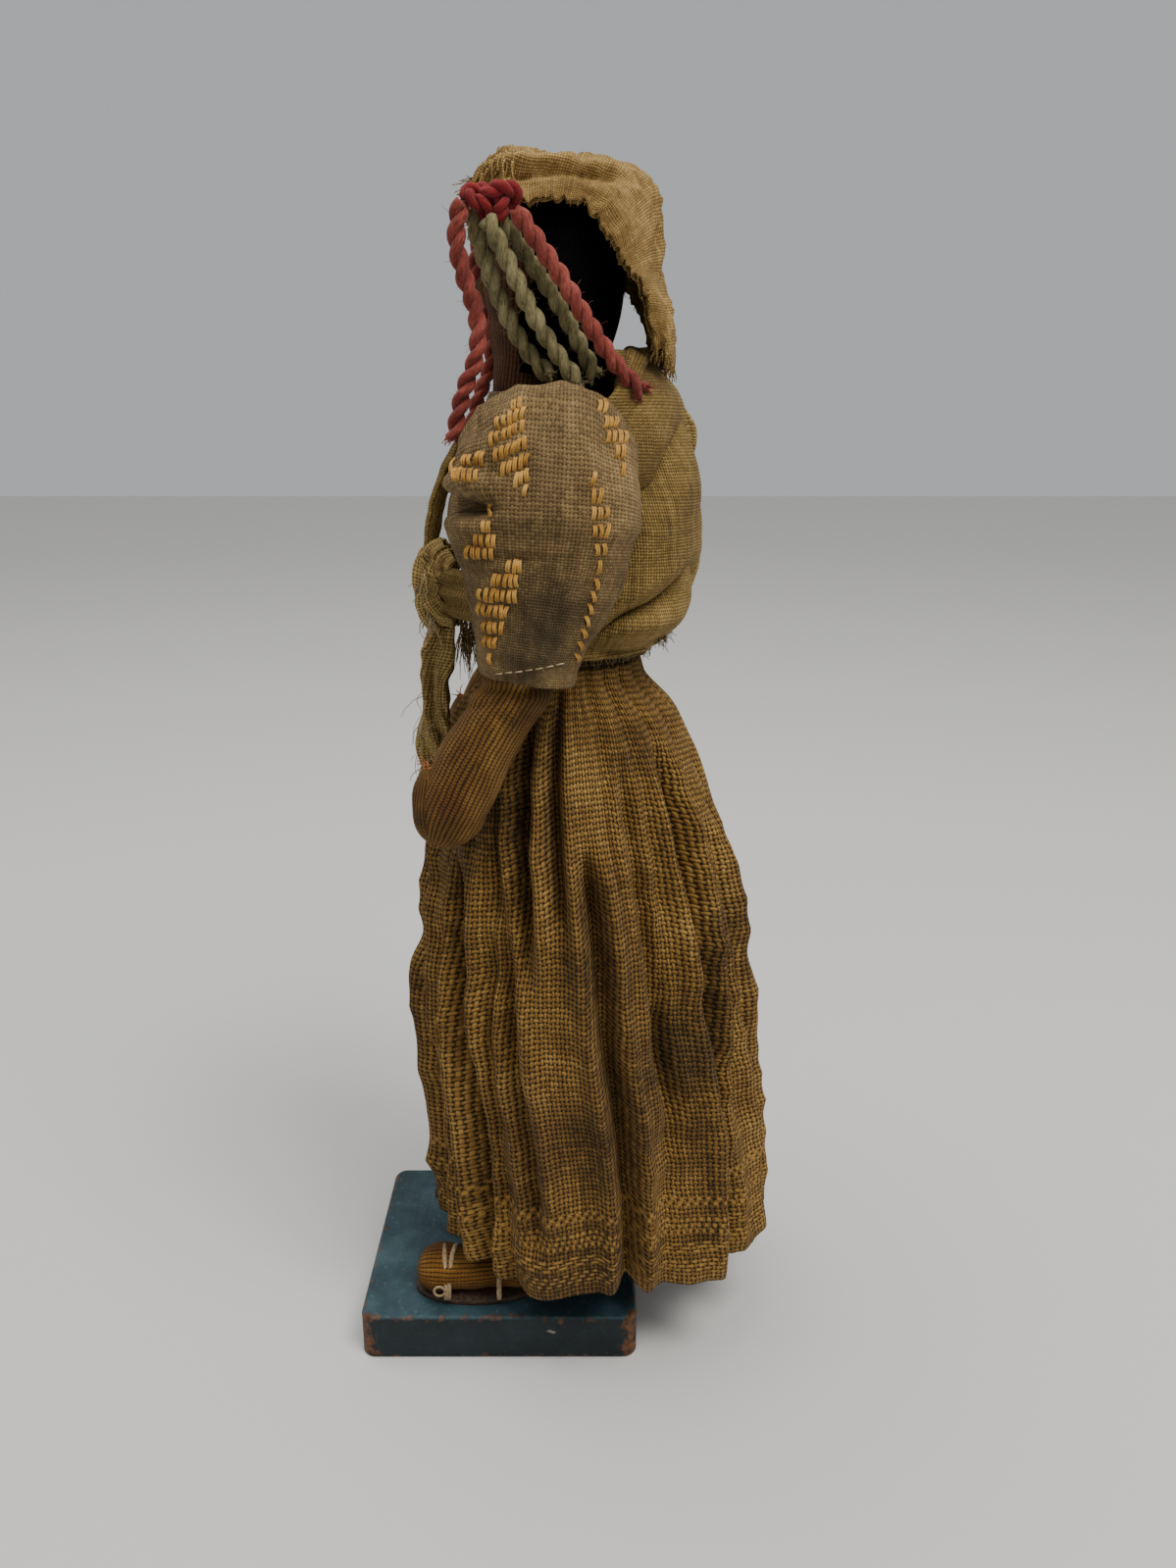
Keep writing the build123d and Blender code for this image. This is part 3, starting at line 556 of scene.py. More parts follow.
def skirtPoint(u, v):
    angle = u * math.tau
    t = 1 - v
    back, halfX, halfY = rowAt(skirtShape, t)
    drift = 0.9 * math.sin(angle * 2 + 0.4) + 0.5 * math.sin(angle * 5 + 1.1 + t)
    gatherWave = abs(math.sin(skirtSize["gathers"] / 2 * angle + drift * 1.5 + 0.4 * t)) ** 0.75
    foldWave = abs(math.sin(skirtSize["folds"] / 2 * angle + drift + 0.5 * math.sin(3 * t + angle))) ** 0.8
    push = skirtSize["gatherDepth"] * (gatherWave - 0.6) * fade(t, -0.02, 0.02) * (1 - fade(t, 0.2, 0.62))
    push += skirtSize["foldDepth"] * (foldWave - 0.62) * fade(t, 0.06, 0.5) * (1 - 0.25 * fade(t, 0.8, 1.0))
    for where, start, end, depth, width in deepFolds:
        distance = (angle - where - 0.05 * math.sin(6 * t) + math.pi) % math.tau - math.pi
        reach = fade(t, start, start + 0.12) * (1 - fade(t, end - 0.15, end))
        push -= depth * reach * bump(distance, 0.0, width)
        push += depth * 0.4 * reach * (bump(distance, width * 2, width) + bump(distance, -width * 2, width))
    place = Vector((halfX * math.sin(angle), spineY + back + halfY * math.cos(angle), waistZ - t * (waistZ - hemZ)))
    outward = Vector((math.sin(angle) / halfX, math.cos(angle) / halfY, 0)).normalized()
    push += wrinkle(place, 12, 1.3) * fade(t, 0.05, 0.3) + crumple(place, 10, 0.9) * fade(t, 0.02, 0.2)
    place += outward * push
    place.z += (0.9 * math.sin(5 * angle + 0.6) + 0.6 * math.sin(9 * angle)) * fade(t, 0.6, 1.0) + 0.8 * fade(t, 0.9, 1.0)
    return place


skirt = addObject("gatheredSkirt", meshFrom("skirt", clothGrid(
    skirtSize["columns"], skirtSize["rows"], skirtSize["width"], skirtSize["length"], skirtPoint, closed=True)),
    skirtMaterial, "figure")
thicken(skirt, skirtSize["thickness"])
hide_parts("skirt")
print("skirt gathered")

# ---- belt ----
beltSize = {"halfX": 16.6, "halfY": 16.2, "height": 5.2, "thickness": 0.9, "tilt": 0.05}
beltLook = {"pitch": 0.8, "wobble": 0.3, "round": 0.6, "threadShare": 0.6, "roughness": 0.85, "sheen": 0.02,
            "dark": (0.005, 0.002, 0.0006), "base": (0.017, 0.007, 0.0015), "light": (0.075, 0.034, 0.006),
            "gap": 0.3, "gapFrom": 0.1, "gapTo": 0.6, "bump": 0.8}


def beltPoint(u, v):
    angle = u * math.tau
    wave = 0.25 * math.sin(9 * angle) + 0.2 * math.sin(17 * angle + 1)
    x = (beltSize["halfX"] + wave) * math.sin(angle)
    y = spineY + 3.0 + (beltSize["halfY"] + wave) * math.cos(angle)
    bulge = 0.35 * math.sin(v * math.pi)
    z = waistZ + 0.2 + beltSize["height"] * v + beltSize["tilt"] * (y - spineY - 3)
    return Vector((x * (1 + bulge / 30), y + bulge * math.cos(angle), z))


belt = addObject("waistBelt", meshFrom("belt", clothGrid(160, 6, 104, 5.2, beltPoint, closed=True)),
                 weaveMaterial("darkBeltWeave", beltLook), "figure")
thicken(belt, beltSize["thickness"])
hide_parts("belt")

# ---- blouse ----
blouseLook = {"pitch": 0.56, "wobble": 0.45, "round": 0.9, "threadShare": 0.3, "roughness": 0.95, "sheen": 0.02,
              "dark": (0.07, 0.042, 0.016), "base": (0.19, 0.122, 0.048), "light": (0.34, 0.228, 0.1),
              "gap": 0.22, "gapFrom": 0.12, "gapTo": 0.66, "bump": 1.0, "fuzz": 0.9,
              # the first two patches are painted shade on the lower outside of the sleeve; the last, small one is
              # painted shade inside the deep dent near the sleeve's front
              "stainsAndShade": [((38, 13, 164), 12, (0.03, 0.021, 0.01), 0.8), ((38, 8, 156), 9, (0.028, 0.02, 0.01), 0.7),
                         ((37, 12, 189), 9, (0.16, 0.1, 0.045), 0.5), ((27, -3, 182), 3.0, (0.012, 0.009, 0.005), 0.9)]}
blouseMaterial = weaveMaterial("brownWoolWeave", blouseLook)

# (height, centre behind the floor's middle, half width, half depth)
blouseShape = [
    (151.2, 15.0, 15.4, 15.0), (157, 14.6, 15.6, 15.2), (167, 11.4, 16.2, 16.2), (180, 9.0, 16.2, 16.8),
    (190, 10.2, 15.6, 13.8), (196, 10.6, 13.4, 11.8), (199.6, 10.2, 10.6, 9.9), (201.0, 10.1, 9.2, 9.2),
]


def blousePoint(u, v):
    z = 151.2 + 49.8 * v
    centre, halfX, halfY = rowAt(blouseShape, z)
    angle = u * math.tau
    place = Vector((halfX * math.sin(angle), centre + halfY * math.cos(angle), z))
    outward = Vector((math.sin(angle), math.cos(angle), 0))
    return place + outward * (wrinkle(place, 9, 0.8) + wrinkle(place, 3.5, 0.3))


blouse = addObject("woolBlouse", meshFrom("blouse", clothGrid(150, 76, 98, 52, blousePoint, closed=True)),
                   blouseMaterial, "figure")
thicken(blouse, 0.7)
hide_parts("blouse", "torso_skin", "torso_stuffing", "spine_wire", "shoulder_wire")

# (share along, outward, back, height, half depth, half thickness), from inside the shoulder to the hem
sleeveShape = [
    (0.0, 11.5, 12.2, 188.4, 10.6, 10.8), (0.12, 16.0, 12.4, 189.6, 13.0, 11.6), (0.27, 21.6, 12.4, 188.8, 16.0, 13.4),
    (0.42, 25.6, 11.9, 181.6, 17.2, 12.4), (0.62, 26.8, 11.2, 171.0, 15.2, 11.2), (0.82, 27.6, 9.8, 160.4, 11.0, 10.2),
    (1.0, 28.0, 8.6, 151.8, 8.9, 9.3),
]
# dents and swells on the sleeve: back, height, how far each way, outward push
sleeveDents = [(-2.6, 182.2, 4.6, 1.2, -7.0), (-1.0, 185.4, 5.4, 1.7, 2.0), (-2.0, 178.8, 4.6, 1.9, 1.3), (7.0, 173.8, 7.0, 0.7, -0.7),
               (23.6, 191.0, 2.2, 6.0, -1.6), (19.4, 164.0, 1.3, 8.0, -0.7), (8.0, 153.0, 9.0, 1.0, -0.6), (16.0, 180.0, 5.0, 3.0, 0.5)]


def sleevePoint(u, v):
    place = tubePoint(sleeveShape, (0, 1, 0), u, v)
    push = wrinkle(place, 10, 1.0) + crumple(place, 8, 0.8) + crumple(place, 3.6, 0.25)
    if place.x > sleeveShape[2][1]:
        for y, z, deep, tall, amount in sleeveDents:
            push += amount * bump(place.y, y, deep) * bump(place.z, z, tall)
    return tubePoint(sleeveShape, (0, 1, 0), u, v, push)


def sided(place, side):
    # the same piece on the left, or mirrored on the right
    def moved(u, v):
        point = place(u, v)
        return Vector((point.x * side, point.y, point.z))
    return moved


sides = (("left", 1), ("right", -1))
sleeves = {}
for sideName, side in sides:
    sleeve = addObject(sideName + "Sleeve", meshFrom("sleeve", clothGrid(128, 84, 84, 62, sided(sleevePoint, side), closed=True)),
                       blouseMaterial, None)
    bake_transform(sleeve)
    thicken(sleeve, 0.7)
    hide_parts(sideName + "_sleeve")
    sleeves[sideName] = sleeve
print("blouse and sleeves made")

# ---- satin stitch ----
stitchMaterial = threadMaterial("ochreStitchThread", (0.26, 0.11, 0.012), (0.54, 0.28, 0.05), (0.78, 0.5, 0.15), 0.6)
creamMaterial = threadMaterial("creamThread", (0.26, 0.18, 0.08), (0.46, 0.35, 0.19), (0.66, 0.55, 0.36), 0.4)
stitchSize = {"thread": 0.2, "apart": 0.17, "pitch": 0.98, "tall": 2.15, "lean": -0.3}

# rows of upright stitches on the sleeve: (first stitch's back position, height of the row, how many)
mainRows = [(7.2, 198.4, 2), (4.6, 196.2, 5), (3.6, 193.9, 6), (4.2, 191.4, 6), (5.4, 189.0, 5), (7.6, 186.9, 3), (9.2, 184.9, 1)]
forkRows = [(-5.6, 188.6, 3), (-3.0, 187.2, 5), (-6.0, 186.2, 2), (-6.2, 183.8, 2)]
smallRows = [(3.2, 181.6, 1), (2.0, 179.0, 2), (0.8, 176.7, 4), (-0.8, 174.6, 5)]
lowRows = [(6.1, 172.6, 3), (3.5, 170.2, 5), (1.2, 167.6, 7), (0.7, 164.9, 6), (1.6, 162.1, 4), (1.6, 159.5, 3), (2.6, 156.6, 1)]
neckRows = [(21.2, 198.2, 2), (22.2, 195.6, 3), (22.8, 193.2, 4), (24.2, 190.8, 2), (25.2, 188.0, 1)]
edgeRows = [(-0.6, 198.6, 1), (-2.0, 196.6, 1), (-3.4, 194.4, 2), (-1.2, 189.4, 2), (1.0, 189.8, 2)]
backRows = [(20.4, 186.6, 1), (20.4, 184.0, 2), (20.4, 181.2, 3), (20.5, 178.3, 3), (21.0, 175.2, 2), (21.2, 172.2, 1)]


def stitch(bm, tree, y, z, tall, side, lean):
    # one upright satin stitch: two thick threads side by side, bowed out of the cloth
    for offset in (-stitchSize["apart"], stitchSize["apart"]):
        points = []
        for share in (0.0, 0.25, 0.5, 0.75, 1.0):
            spot = (60 * side, y + offset + lean * (share - 0.5), z - tall * (share - 0.5))
            hit, normal = onSurface(tree, spot, (-side, 0, 0))
            if hit is None:
                return
            points.append(hit + normal * (0.5 * math.sin(share * math.pi) - 0.05))
        threadMesh(bm, points, stitchSize["thread"], 6)


for sideName, side in sides:
    tree = surfaceOf(sleeves[sideName])
    bm = bmesh.new()
    for rows in (mainRows, forkRows, smallRows, lowRows, neckRows, edgeRows, backRows):
        for first, z, count in rows:
            for index in range(count):
                y = first + index * stitchSize["pitch"] + chance.uniform(-0.14, 0.14)
                rise = 0.4 * (index - (count - 1) / 2) if rows is mainRows else 0.0
                stitch(bm, tree, y, z + rise, stitchSize["tall"] * chance.uniform(0.8, 1.12), side, stitchSize["lean"] * chance.uniform(-0.4, 2.0))
    for index in range(7):
        share = index / 6
        stitch(bm, tree, 20.9 - 3.4 * share, 169.4 - 13.0 * share, 1.9, side, 0.4)
    stitches = addObject(sideName + "SatinStitch", meshFrom("stitches", bm), stitchMaterial, None)
    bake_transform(stitches)
    bm = bmesh.new()
    for index in range(7):  # the running stitch along the hem
        points = []
        for share in (0.0, 0.33, 0.66, 1.0):
            y = 3.4 + (index + share * 0.72) * 1.75
            hit, normal = onSurface(tree, (60 * side, y, 154.2 + 0.16 * (y - 4)), (-side, 0, 0))
            if hit is not None:
                points.append(hit + normal * 0.12)
        if len(points) == 4:
            threadMesh(bm, points, 0.13, 5)
    running = addObject(sideName + "HemStitch", meshFrom("running", bm), creamMaterial, sideName + "_arm")
print("stitches sewn")

# ---- arms ----
armLook = {"rib": 0.95, "stitch": 0.8, "roughness": 0.9, "dark": (0.05, 0.02, 0.003), "base": (0.175, 0.083, 0.015),
           "light": (0.36, 0.2, 0.05), "gap": 0.16, "bump": 0.8,
           # the second patch, on the arm just below the sleeve's hem, is painted shadow from the sleeve
           "stainsAndShade": [((35, -6, 131), 5, (0.13, 0.04, 0.008), 0.5), ((33, 12, 150), 7, (0.05, 0.018, 0.004), 0.7)]}
legLook = {"rib": 1.0, "stitch": 0.85, "roughness": 0.92, "dark": (0.055, 0.02, 0.002), "base": (0.15, 0.062, 0.008),
           "light": (0.27, 0.13, 0.022), "gap": 0.2, "bump": 0.8}
faceLook = {"rib": 1.05, "stitch": 0.85, "roughness": 0.92, "dark": (0.035, 0.012, 0.003), "base": (0.085, 0.032, 0.008),
            "light": (0.15, 0.065, 0.019), "gap": 0.35, "bump": 0.8}
armMaterial = knitMaterial("goldenRibKnit", armLook)
legMaterial = knitMaterial("brownRibKnit", legLook)
faceMaterial = knitMaterial("brownFaceKnit", faceLook)

armShape = [
    (0.0, armX, shoulderY - 0.8, 172.0, 0.0, 0.0), (0.02, armX, shoulderY - 0.8, 171.6, 3.6, 3.6),
    (0.08, armX, shoulderY - 1.0, 168.4, 5.7, 5.7), (0.3, armX, shoulderY - 2.2, 153.4, 5.9, 6.3),
    (0.52, armX, shoulderY - 8.0, 142.8, 5.9, 6.2), (0.72, armX, shoulderY - 13.0, 133.4, 6.3, 6.7),
    (0.86, armX, shoulderY - 16.0, 127.2, 6.4, 6.5), (0.94, armX, shoulderY - 17.7, 123.4, 5.3, 5.2),
    (0.985, armX, shoulderY - 18.7, 121.2, 2.9, 2.8), (1.0, armX, shoulderY - 18.9, 120.7, 0.0, 0.0),
]
handShape = [
    (0.0, armX, -8.2, 121.0, 0.0, 0.0), (0.05, armX, -8.7, 121.3, 2.6, 1.4), (0.3, armX, -9.8, 125.0, 5.1, 2.8),
    (0.6, armX, -10.0, 129.6, 4.7, 2.8), (0.85, armX, -9.7, 133.4, 3.3, 2.1), (0.96, armX, -9.5, 135.2, 1.6, 1.1),
    (1.0, armX, -9.5, 135.7, 0.0, 0.0),
]


def armPoint(u, v):
    place = tubePoint(armShape, (1, 0, 0), u, v)
    crease = -0.9 * bump(place.z, 150.8, 1.0) - 0.5 * bump(place.z, 147.6 + 0.3 * place.y, 0.8)
    return tubePoint(armShape, (1, 0, 0), u, v, (crease + wrinkle(place, 6, 0.5)) * min(1, 12 * v, 12 * (1 - v)))


def handPoint(u, v):
    place = tubePoint(handShape, (1, 0, 0), u, v)
    return tubePoint(handShape, (1, 0, 0), u, v, wrinkle(place, 4, 0.35) * min(1, 8 * v, 8 * (1 - v)))


knotMaterial = threadMaterial("rustThread", (0.22, 0.05, 0.015), (0.42, 0.13, 0.04), (0.6, 0.24, 0.08), 0.4)
for sideName, side in sides:
    body = sideName + "_arm"
    arm = addObject(sideName + "Arm", meshFrom("arm", clothGrid(64, 96, 39, 62, sided(armPoint, side), closed=True)),
                    armMaterial, body)
    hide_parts(body + "_skin", body + "_stuffing", body + "_wire")
    hand = addObject(sideName + "Hand", meshFrom("hand", clothGrid(48, 28, 26, 16, sided(handPoint, side), closed=True)),
                     armMaterial, body)
    bm = bmesh.new()
    for turn in range(3):
        ring = [Vector((armX * side + 1.15 * math.cos(a), -9.6 + 1.0 * math.sin(a), 134.6 + 0.35 * turn + 0.2 * math.sin(2 * a)))
                for a in (math.tau * k / 12 for k in range(13))]
        threadMesh(bm, ring, 0.2, 5)
    for way in ((0.3, -0.8, 0.7), (0.8 * side, -0.4, 0.5), (-0.4, -0.2, 1.0)):
        threadMesh(bm, curlyThread((armX * side, -9.8, 135.4), way, 2.6, 0.5), 0.16, 4, 0.4)
    tie = addObject(sideName + "FingertipKnot", meshFrom("tie", bm), knotMaterial, body)
    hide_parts(sideName + "_fingertip_thread")
    fray(sideName + "ArmPulls", [((armX * side + 5.8 * side, 6 - 3 * k, 146 - 4 * k), (side, 0, -0.2)) for k in range(4)],
         armMaterial, body, 0.11, 0.5, 2.4, 1.2, 0.3)
print("arms stuffed")

# ---- legs, feet and sandals ----
soleTop = high("left_sandal_sole").z
footX = (low("left_sandal_sole").x + high("left_sandal_sole").x) / 2
toeY, heelY = low("left_sandal_sole").y, high("left_sandal_sole").y
ankleY = heelY - 6.2
hipZ = low("torso_skin").z
legShape = [
    (0.0, footX, ankleY, soleTop + 4.0, 4.4, 4.4), (0.12, footX, ankleY, soleTop + 14, 4.6, 4.7),
    (0.45, footX - 1.5, ankleY + 2, soleTop + 47, 5.5, 5.6), (0.86, 8.2, spineY - 1.5, hipZ - 14, 6.2, 7.2),
    (1.0, 7.4, spineY - 1, hipZ + 4, 6.3, 7.3),
]
footMiddle = soleTop + 3.7
footShape = [
    (0.0, footX, heelY - 0.3, footMiddle - 0.4, 0.0, 0.0), (0.03, footX, heelY - 0.7, footMiddle - 0.4, 2.0, 1.8),
    (0.1, footX, heelY - 2.4, footMiddle - 0.2, 4.2, 3.4), (0.3, footX, heelY - 7.4, footMiddle + 0.6, 5.0, 4.2),
    (0.6, footX, heelY - 16.4, footMiddle + 0.1, 5.6, 3.9), (0.84, footX, heelY - 23.4, footMiddle + 0.3, 5.9, 4.2),
    (0.95, footX, heelY - 26.4, footMiddle, 4.2, 3.1), (0.99, footX, heelY - 27.4, footMiddle, 2.0, 1.5),
    (1.0, footX, heelY - 27.7, footMiddle, 0.0, 0.0),
]
soleMaterial, soleTree, soleShader = newMaterial("wornSoleLeather", 0.7, 0.0, 0.3)
soleGrain = noiseAt(soleTree, objectPoint(soleTree), 1100, 4, 0.6)
soleTree.links.new(ramp(soleTree, soleGrain, [(0.35, (0.02, 0.012, 0.008)), (0.65, (0.07, 0.042, 0.024))]), soleShader.inputs["Base Color"])
addBump(soleTree, soleShader, soleGrain, 0.5, 0.0002)
strapMaterial = threadMaterial("paleStrapCord", (0.2, 0.13, 0.06), (0.38, 0.27, 0.14), (0.55, 0.43, 0.25), 0.5)


def legPoint(u, v):
    place = tubePoint(legShape, (1, 0, 0), u, v)
    return tubePoint(legShape, (1, 0, 0), u, v, wrinkle(place, 7, 0.6))


def footPoint(u, v):
    place = tubePoint(footShape, (1, 0, 0), u, v)
    place = tubePoint(footShape, (1, 0, 0), u, v, wrinkle(place, 5, 0.4) * min(1, 10 * v, 10 * (1 - v)))
    place.z = max(place.z, soleTop + 0.05)
    return place


for sideName, side in sides:
    leg = addObject(sideName + "Leg", meshFrom("leg", clothGrid(48, 60, 32, 104, sided(legPoint, side), closed=True)),
                    legMaterial, "figure")
    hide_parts(sideName + "_leg_skin", sideName + "_leg_stuffing", sideName + "_leg_wire")
    foot = addObject(sideName + "Foot", meshFrom("foot", clothGrid(56, 64, 32, 30, sided(footPoint, side), closed=True)),
                     legMaterial, "figure")
    bm = bmesh.new()
    bmesh.ops.create_circle(bm, cap_ends=True, segments=48, radius=1.0)
    for vert in bm.verts:
        vert.co.x *= 6.3 * (1 + 0.06 * vert.co.y * -1)
        vert.co.y *= (heelY - toeY) / 2
        vert.co = Vector((footX * side + vert.co.x, (heelY + toeY) / 2 + vert.co.y, boardTop)) * mm
    top = bmesh.ops.extrude_face_region(bm, geom=bm.faces[:])["geom"]
    bmesh.ops.translate(bm, verts=[g for g in top if isinstance(g, bmesh.types.BMVert)], vec=(0, 0, (soleTop - boardTop) * mm))
    bmesh.ops.recalc_face_normals(bm, faces=bm.faces)
    bmesh.ops.bevel(bm, geom=bm.edges[:], offset=0.25 * mm, affect="EDGES", segments=2, profile=0.5, material=-1)
    sole = addObject(sideName + "Sole", meshFrom("sole", bm), soleMaterial, "figure")
    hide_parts(sideName + "_sandal_sole")
    bm = bmesh.new()
    for strapY, lean in ((toeY + 6.6, 0.8), (toeY + 8.6, -0.6), (heelY - 9.0, 0.0)):
        height = 4.7 if strapY < 0 else 5.3
        points = []
        for k in range(17):
            a = math.pi * k / 16
            points.append(Vector((footX * side + 6.15 * math.cos(a), strapY + lean * math.cos(a) * side,
                                  max(soleTop - 0.2, footMiddle - 0.2 + height * math.sin(a) - 3.0 * (1 - math.sin(a))))))
        threadMesh(bm, points, 0.55, 6)
    loop = [Vector((footX * side + 6.3 * side, toeY + 6.0 + 1.2 * math.cos(a), soleTop + 2.6 + 1.2 * math.sin(a)))
            for a in (math.tau * k / 12 for k in range(13))]
    threadMesh(bm, loop, 0.3, 5)
    strap = addObject(sideName + "Strap", meshFrom("strap", bm), strapMaterial, "figure")
    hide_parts(sideName + "_sandal_strap")
print("feet shod")

# ---- head, hair and face ----
headShape = [
    (0.0, 0, 9.9, neckZ - 1.5, 8.6, 8.8), (0.12, 0, 10.2, neckZ + 3.5, 8.5, 8.7), (0.25, 0, 11.6, neckZ + 9.5, 10.0, 10.2),
    (0.42, 0, 12.5, neckZ + 16.5, 11.4, 11.7), (0.6, 0, 12.6, neckZ + 23.5, 11.7, 12.1), (0.78, 0, 12.5, neckZ + 31, 10.4, 10.8),
    (0.92, 0, 12.3, neckZ + 36.4, 6.6, 6.8), (0.98, 0, 12.2, neckZ + 38.2, 3.2, 3.2), (1.0, 0, 12.2, neckZ + 38.6, 0.0, 0.0),
]


def headPoint(u, v):
    place = tubePoint(headShape, (1, 0, 0), u, v)
    push = wrinkle(place, 8, 0.5)
    if place.y < 12:
        x, z = place.x, place.z - neckZ
        push += 2.3 * bump(x, 0, 1.9) * bump(z, 19.4, 2.7)          # nose
        push += 0.7 * (bump(x, 5, 3.2) + bump(x, -5, 3.2)) * bump(z, 16.5, 3.4)  # cheeks
        push -= 0.8 * (bump(x, 4.2, 2.4) + bump(x, -4.2, 2.4)) * bump(z, 22.8, 1.8)  # eye sockets
        push += 1.0 * bump(x, 0, 4.2) * bump(z, 10.6, 2.6)          # chin
    return tubePoint(headShape, (1, 0, 0), u, v, push * min(1, 14 * (1 - v)))


head = addObject("head", meshFrom("head", clothGrid(96, 90, 66, 46, headPoint, closed=True)), faceMaterial, "figure")
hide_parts("head_skin", "head_stuffing")

faceTree = surfaceOf(head)


def faceThread(bm, spots, radius, lift=0.08):
    points = []
    for x, z in spots:
        hit, normal = onSurface(faceTree, (x, -40, neckZ + z), (0, 1, 0))
        points.append(hit + normal * lift)
    threadMesh(bm, points, radius, 5)


darkThread = threadMaterial("darkFaceThread", (0.006, 0.005, 0.005), (0.014, 0.011, 0.01), (0.035, 0.028, 0.024), 0.4)
mouthThread = threadMaterial("redFaceThread", (0.16, 0.02, 0.014), (0.28, 0.04, 0.03), (0.4, 0.08, 0.06), 0.4)
bm = bmesh.new()
for side in (1, -1):
    for k in range(6):  # each eye is a small block of upright stitches
        x = side * (4.2 + (k - 2.5) * 0.36)
        tall = 0.85 * math.cos((k - 2.5) * 0.42)
        faceThread(bm, [(x, 22.8 + tall), (x, 22.8), (x, 22.8 - tall)], 0.2, 0.16)
    faceThread(bm, [(side * (2.6 + 0.8 * k), 25.6 + 0.55 * math.sin(k * 0.62)) for k in range(6)], 0.2)
addObject("eyesAndBrows", meshFrom("eyes", bm), darkThread, "figure")
bm = bmesh.new()
faceThread(bm, [(x * 0.62, 14.5 + 0.028 * x * x) for x in range(-4, 5)], 0.24)
faceThread(bm, [(x * 0.5, 14.0 + 0.05 * x * x) for x in range(-3, 4)], 0.22)
addObject("mouth", meshFrom("mouth", bm), mouthThread, "figure")

hairMaterial, hairTree, hairShader = newMaterial("blackHairCloth", 0.9, 0.0, 0.04)
hairPoint = clothPoint(hairTree)
hairWeave = noiseAt(hairTree, scaled(hairTree, hairPoint, (2600, 500, 1)), 1, 2)
hairTree.links.new(ramp(hairTree, hairWeave, [(0.3, (0.0006, 0.0006, 0.0006)), (0.7, (0.003, 0.003, 0.003))]), hairShader.inputs["Base Color"])
addBump(hairTree, hairShader, hairWeave, 0.4, 0.00015)


def hairPointAt(u, v):
    share = 0.13 + 0.83 * v
    reach = 0.3 + 0.02 * math.sin(9 * v)
    around = 0.25 + (u - 0.5) * 2 * reach
    return tubePoint(headShape, (1, 0, 0), around, share, 1.0)


hair = addObject("hair", meshFrom("hair", clothGrid(80, 60, 46, 38, hairPointAt)), hairMaterial, "figure")
thicken(hair, 0.5, 1.0)
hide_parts("hair_cloth")
print("head made")

# ---- headcloth ----
headclothLook = {"pitch": 0.46, "wobble": 0.4, "round": 0.7, "threadShare": 0.28, "roughness": 0.9, "sheen": 0.02,
                 "dark": (0.13, 0.07, 0.017), "base": (0.33, 0.2, 0.06), "light": (0.56, 0.385, 0.145),
                 "gap": 0.14, "gapFrom": 0.15, "gapTo": 0.75, "bump": 0.95, "fuzz": 0.4, "cloudScale": 90,
                 "stainsAndShade": [((14, 24, 222), 7, (0.15, 0.08, 0.02), 0.5)]}
headclothMaterial = weaveMaterial("tanPlainWeave", headclothLook)

# (share from brow to tip, ridge's back, ridge's height, edge's back, edge's height, half width)
headclothShape = [
    (0.0, -1.2, 236.4, -1.2, 231.4, 10.0), (0.06, 1.6, 240.4, 0.6, 231.4, 12.0), (0.16, 5.6, 243.0, 4.6, 231.8, 13.6),
    (0.28, 11.6, 241.6, 11.0, 232.0, 14.4), (0.4, 20.0, 240.4, 17.0, 231.6, 14.8), (0.5, 27.2, 239.2, 20.4, 229.4, 15.0),
    (0.59, 31.8, 235.8, 22.6, 226.4, 15.0), (0.7, 32.8, 227.0, 25.4, 222.2, 14.6), (0.82, 33.8, 218.4, 28.6, 218.0, 14.2),
    (0.92, 35.0, 211.6, 30.4, 213.2, 13.8), (1.0, 34.8, 205.4, 31.6, 208.0, 13.0),
]


def headclothPoint(u, v):
    across = (u - 0.5) * 2
    ridgeY, ridgeZ, edgeY, edgeZ, wide = rowAt(headclothShape, v)
    turn = across * math.pi / 2
    share = 1 - math.cos(turn)
    place = Vector((wide * math.sin(turn), ridgeY + (edgeY - ridgeY) * share, ridgeZ + (edgeZ - ridgeZ) * share))
    outward = Vector((math.sin(turn), 0.25 if v < 0.5 else 0.8, math.cos(turn) * (1 - v)))
    folds = 0.9 * math.sin(across * 13 + 3 * math.sin(5 * v)) * bump(v, 0.0, 0.13)
    folds += 1.1 * bump(across, 0.45, 0.1) * bump(v, 0.36, 0.09) + 1.0 * bump(across, -0.4, 0.12) * bump(v, 0.4, 0.1)
    folds += 0.9 * math.sin(across * 9 + 2 * v) * fade(v, 0.55, 1.0)
    near = abs(across)
    folds += (1.5 * bump(near, 0.66 - 0.35 * v, 0.06) - 1.1 * bump(near, 0.8 - 0.35 * v, 0.05)) * fade(v, 0.04, 0.14) * (1 - fade(v, 0.45, 0.62))
    folds += 0.55 * fade(near, 0.9, 0.96) + wrinkle(place, 7, 0.9) + crumple(place, 6, 1.3) + crumple(place, 3, 0.5)
    ragged = (noise.noise((v * 26, across, 3.1)) * 1.3 + noise.noise((v * 75, across, 8.4)) * 0.7) * fade(near, 0.86, 1.0)
    ragged += (noise.noise((across * 14, 2.2, v)) * 1.8 + noise.noise((across * 44, 6.0, v)) * 0.9) * fade(v, 0.93, 1.0)
    return place + outward.normalized() * folds + Vector((0, 0.3 * ragged, ragged))


headcloth = addObject("drapedHeadcloth", meshFrom("headcloth", clothGrid(110, 120, 46, 62, headclothPoint)),
                      headclothMaterial, "figure")
thicken(headcloth, 0.45)
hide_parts("headcloth")


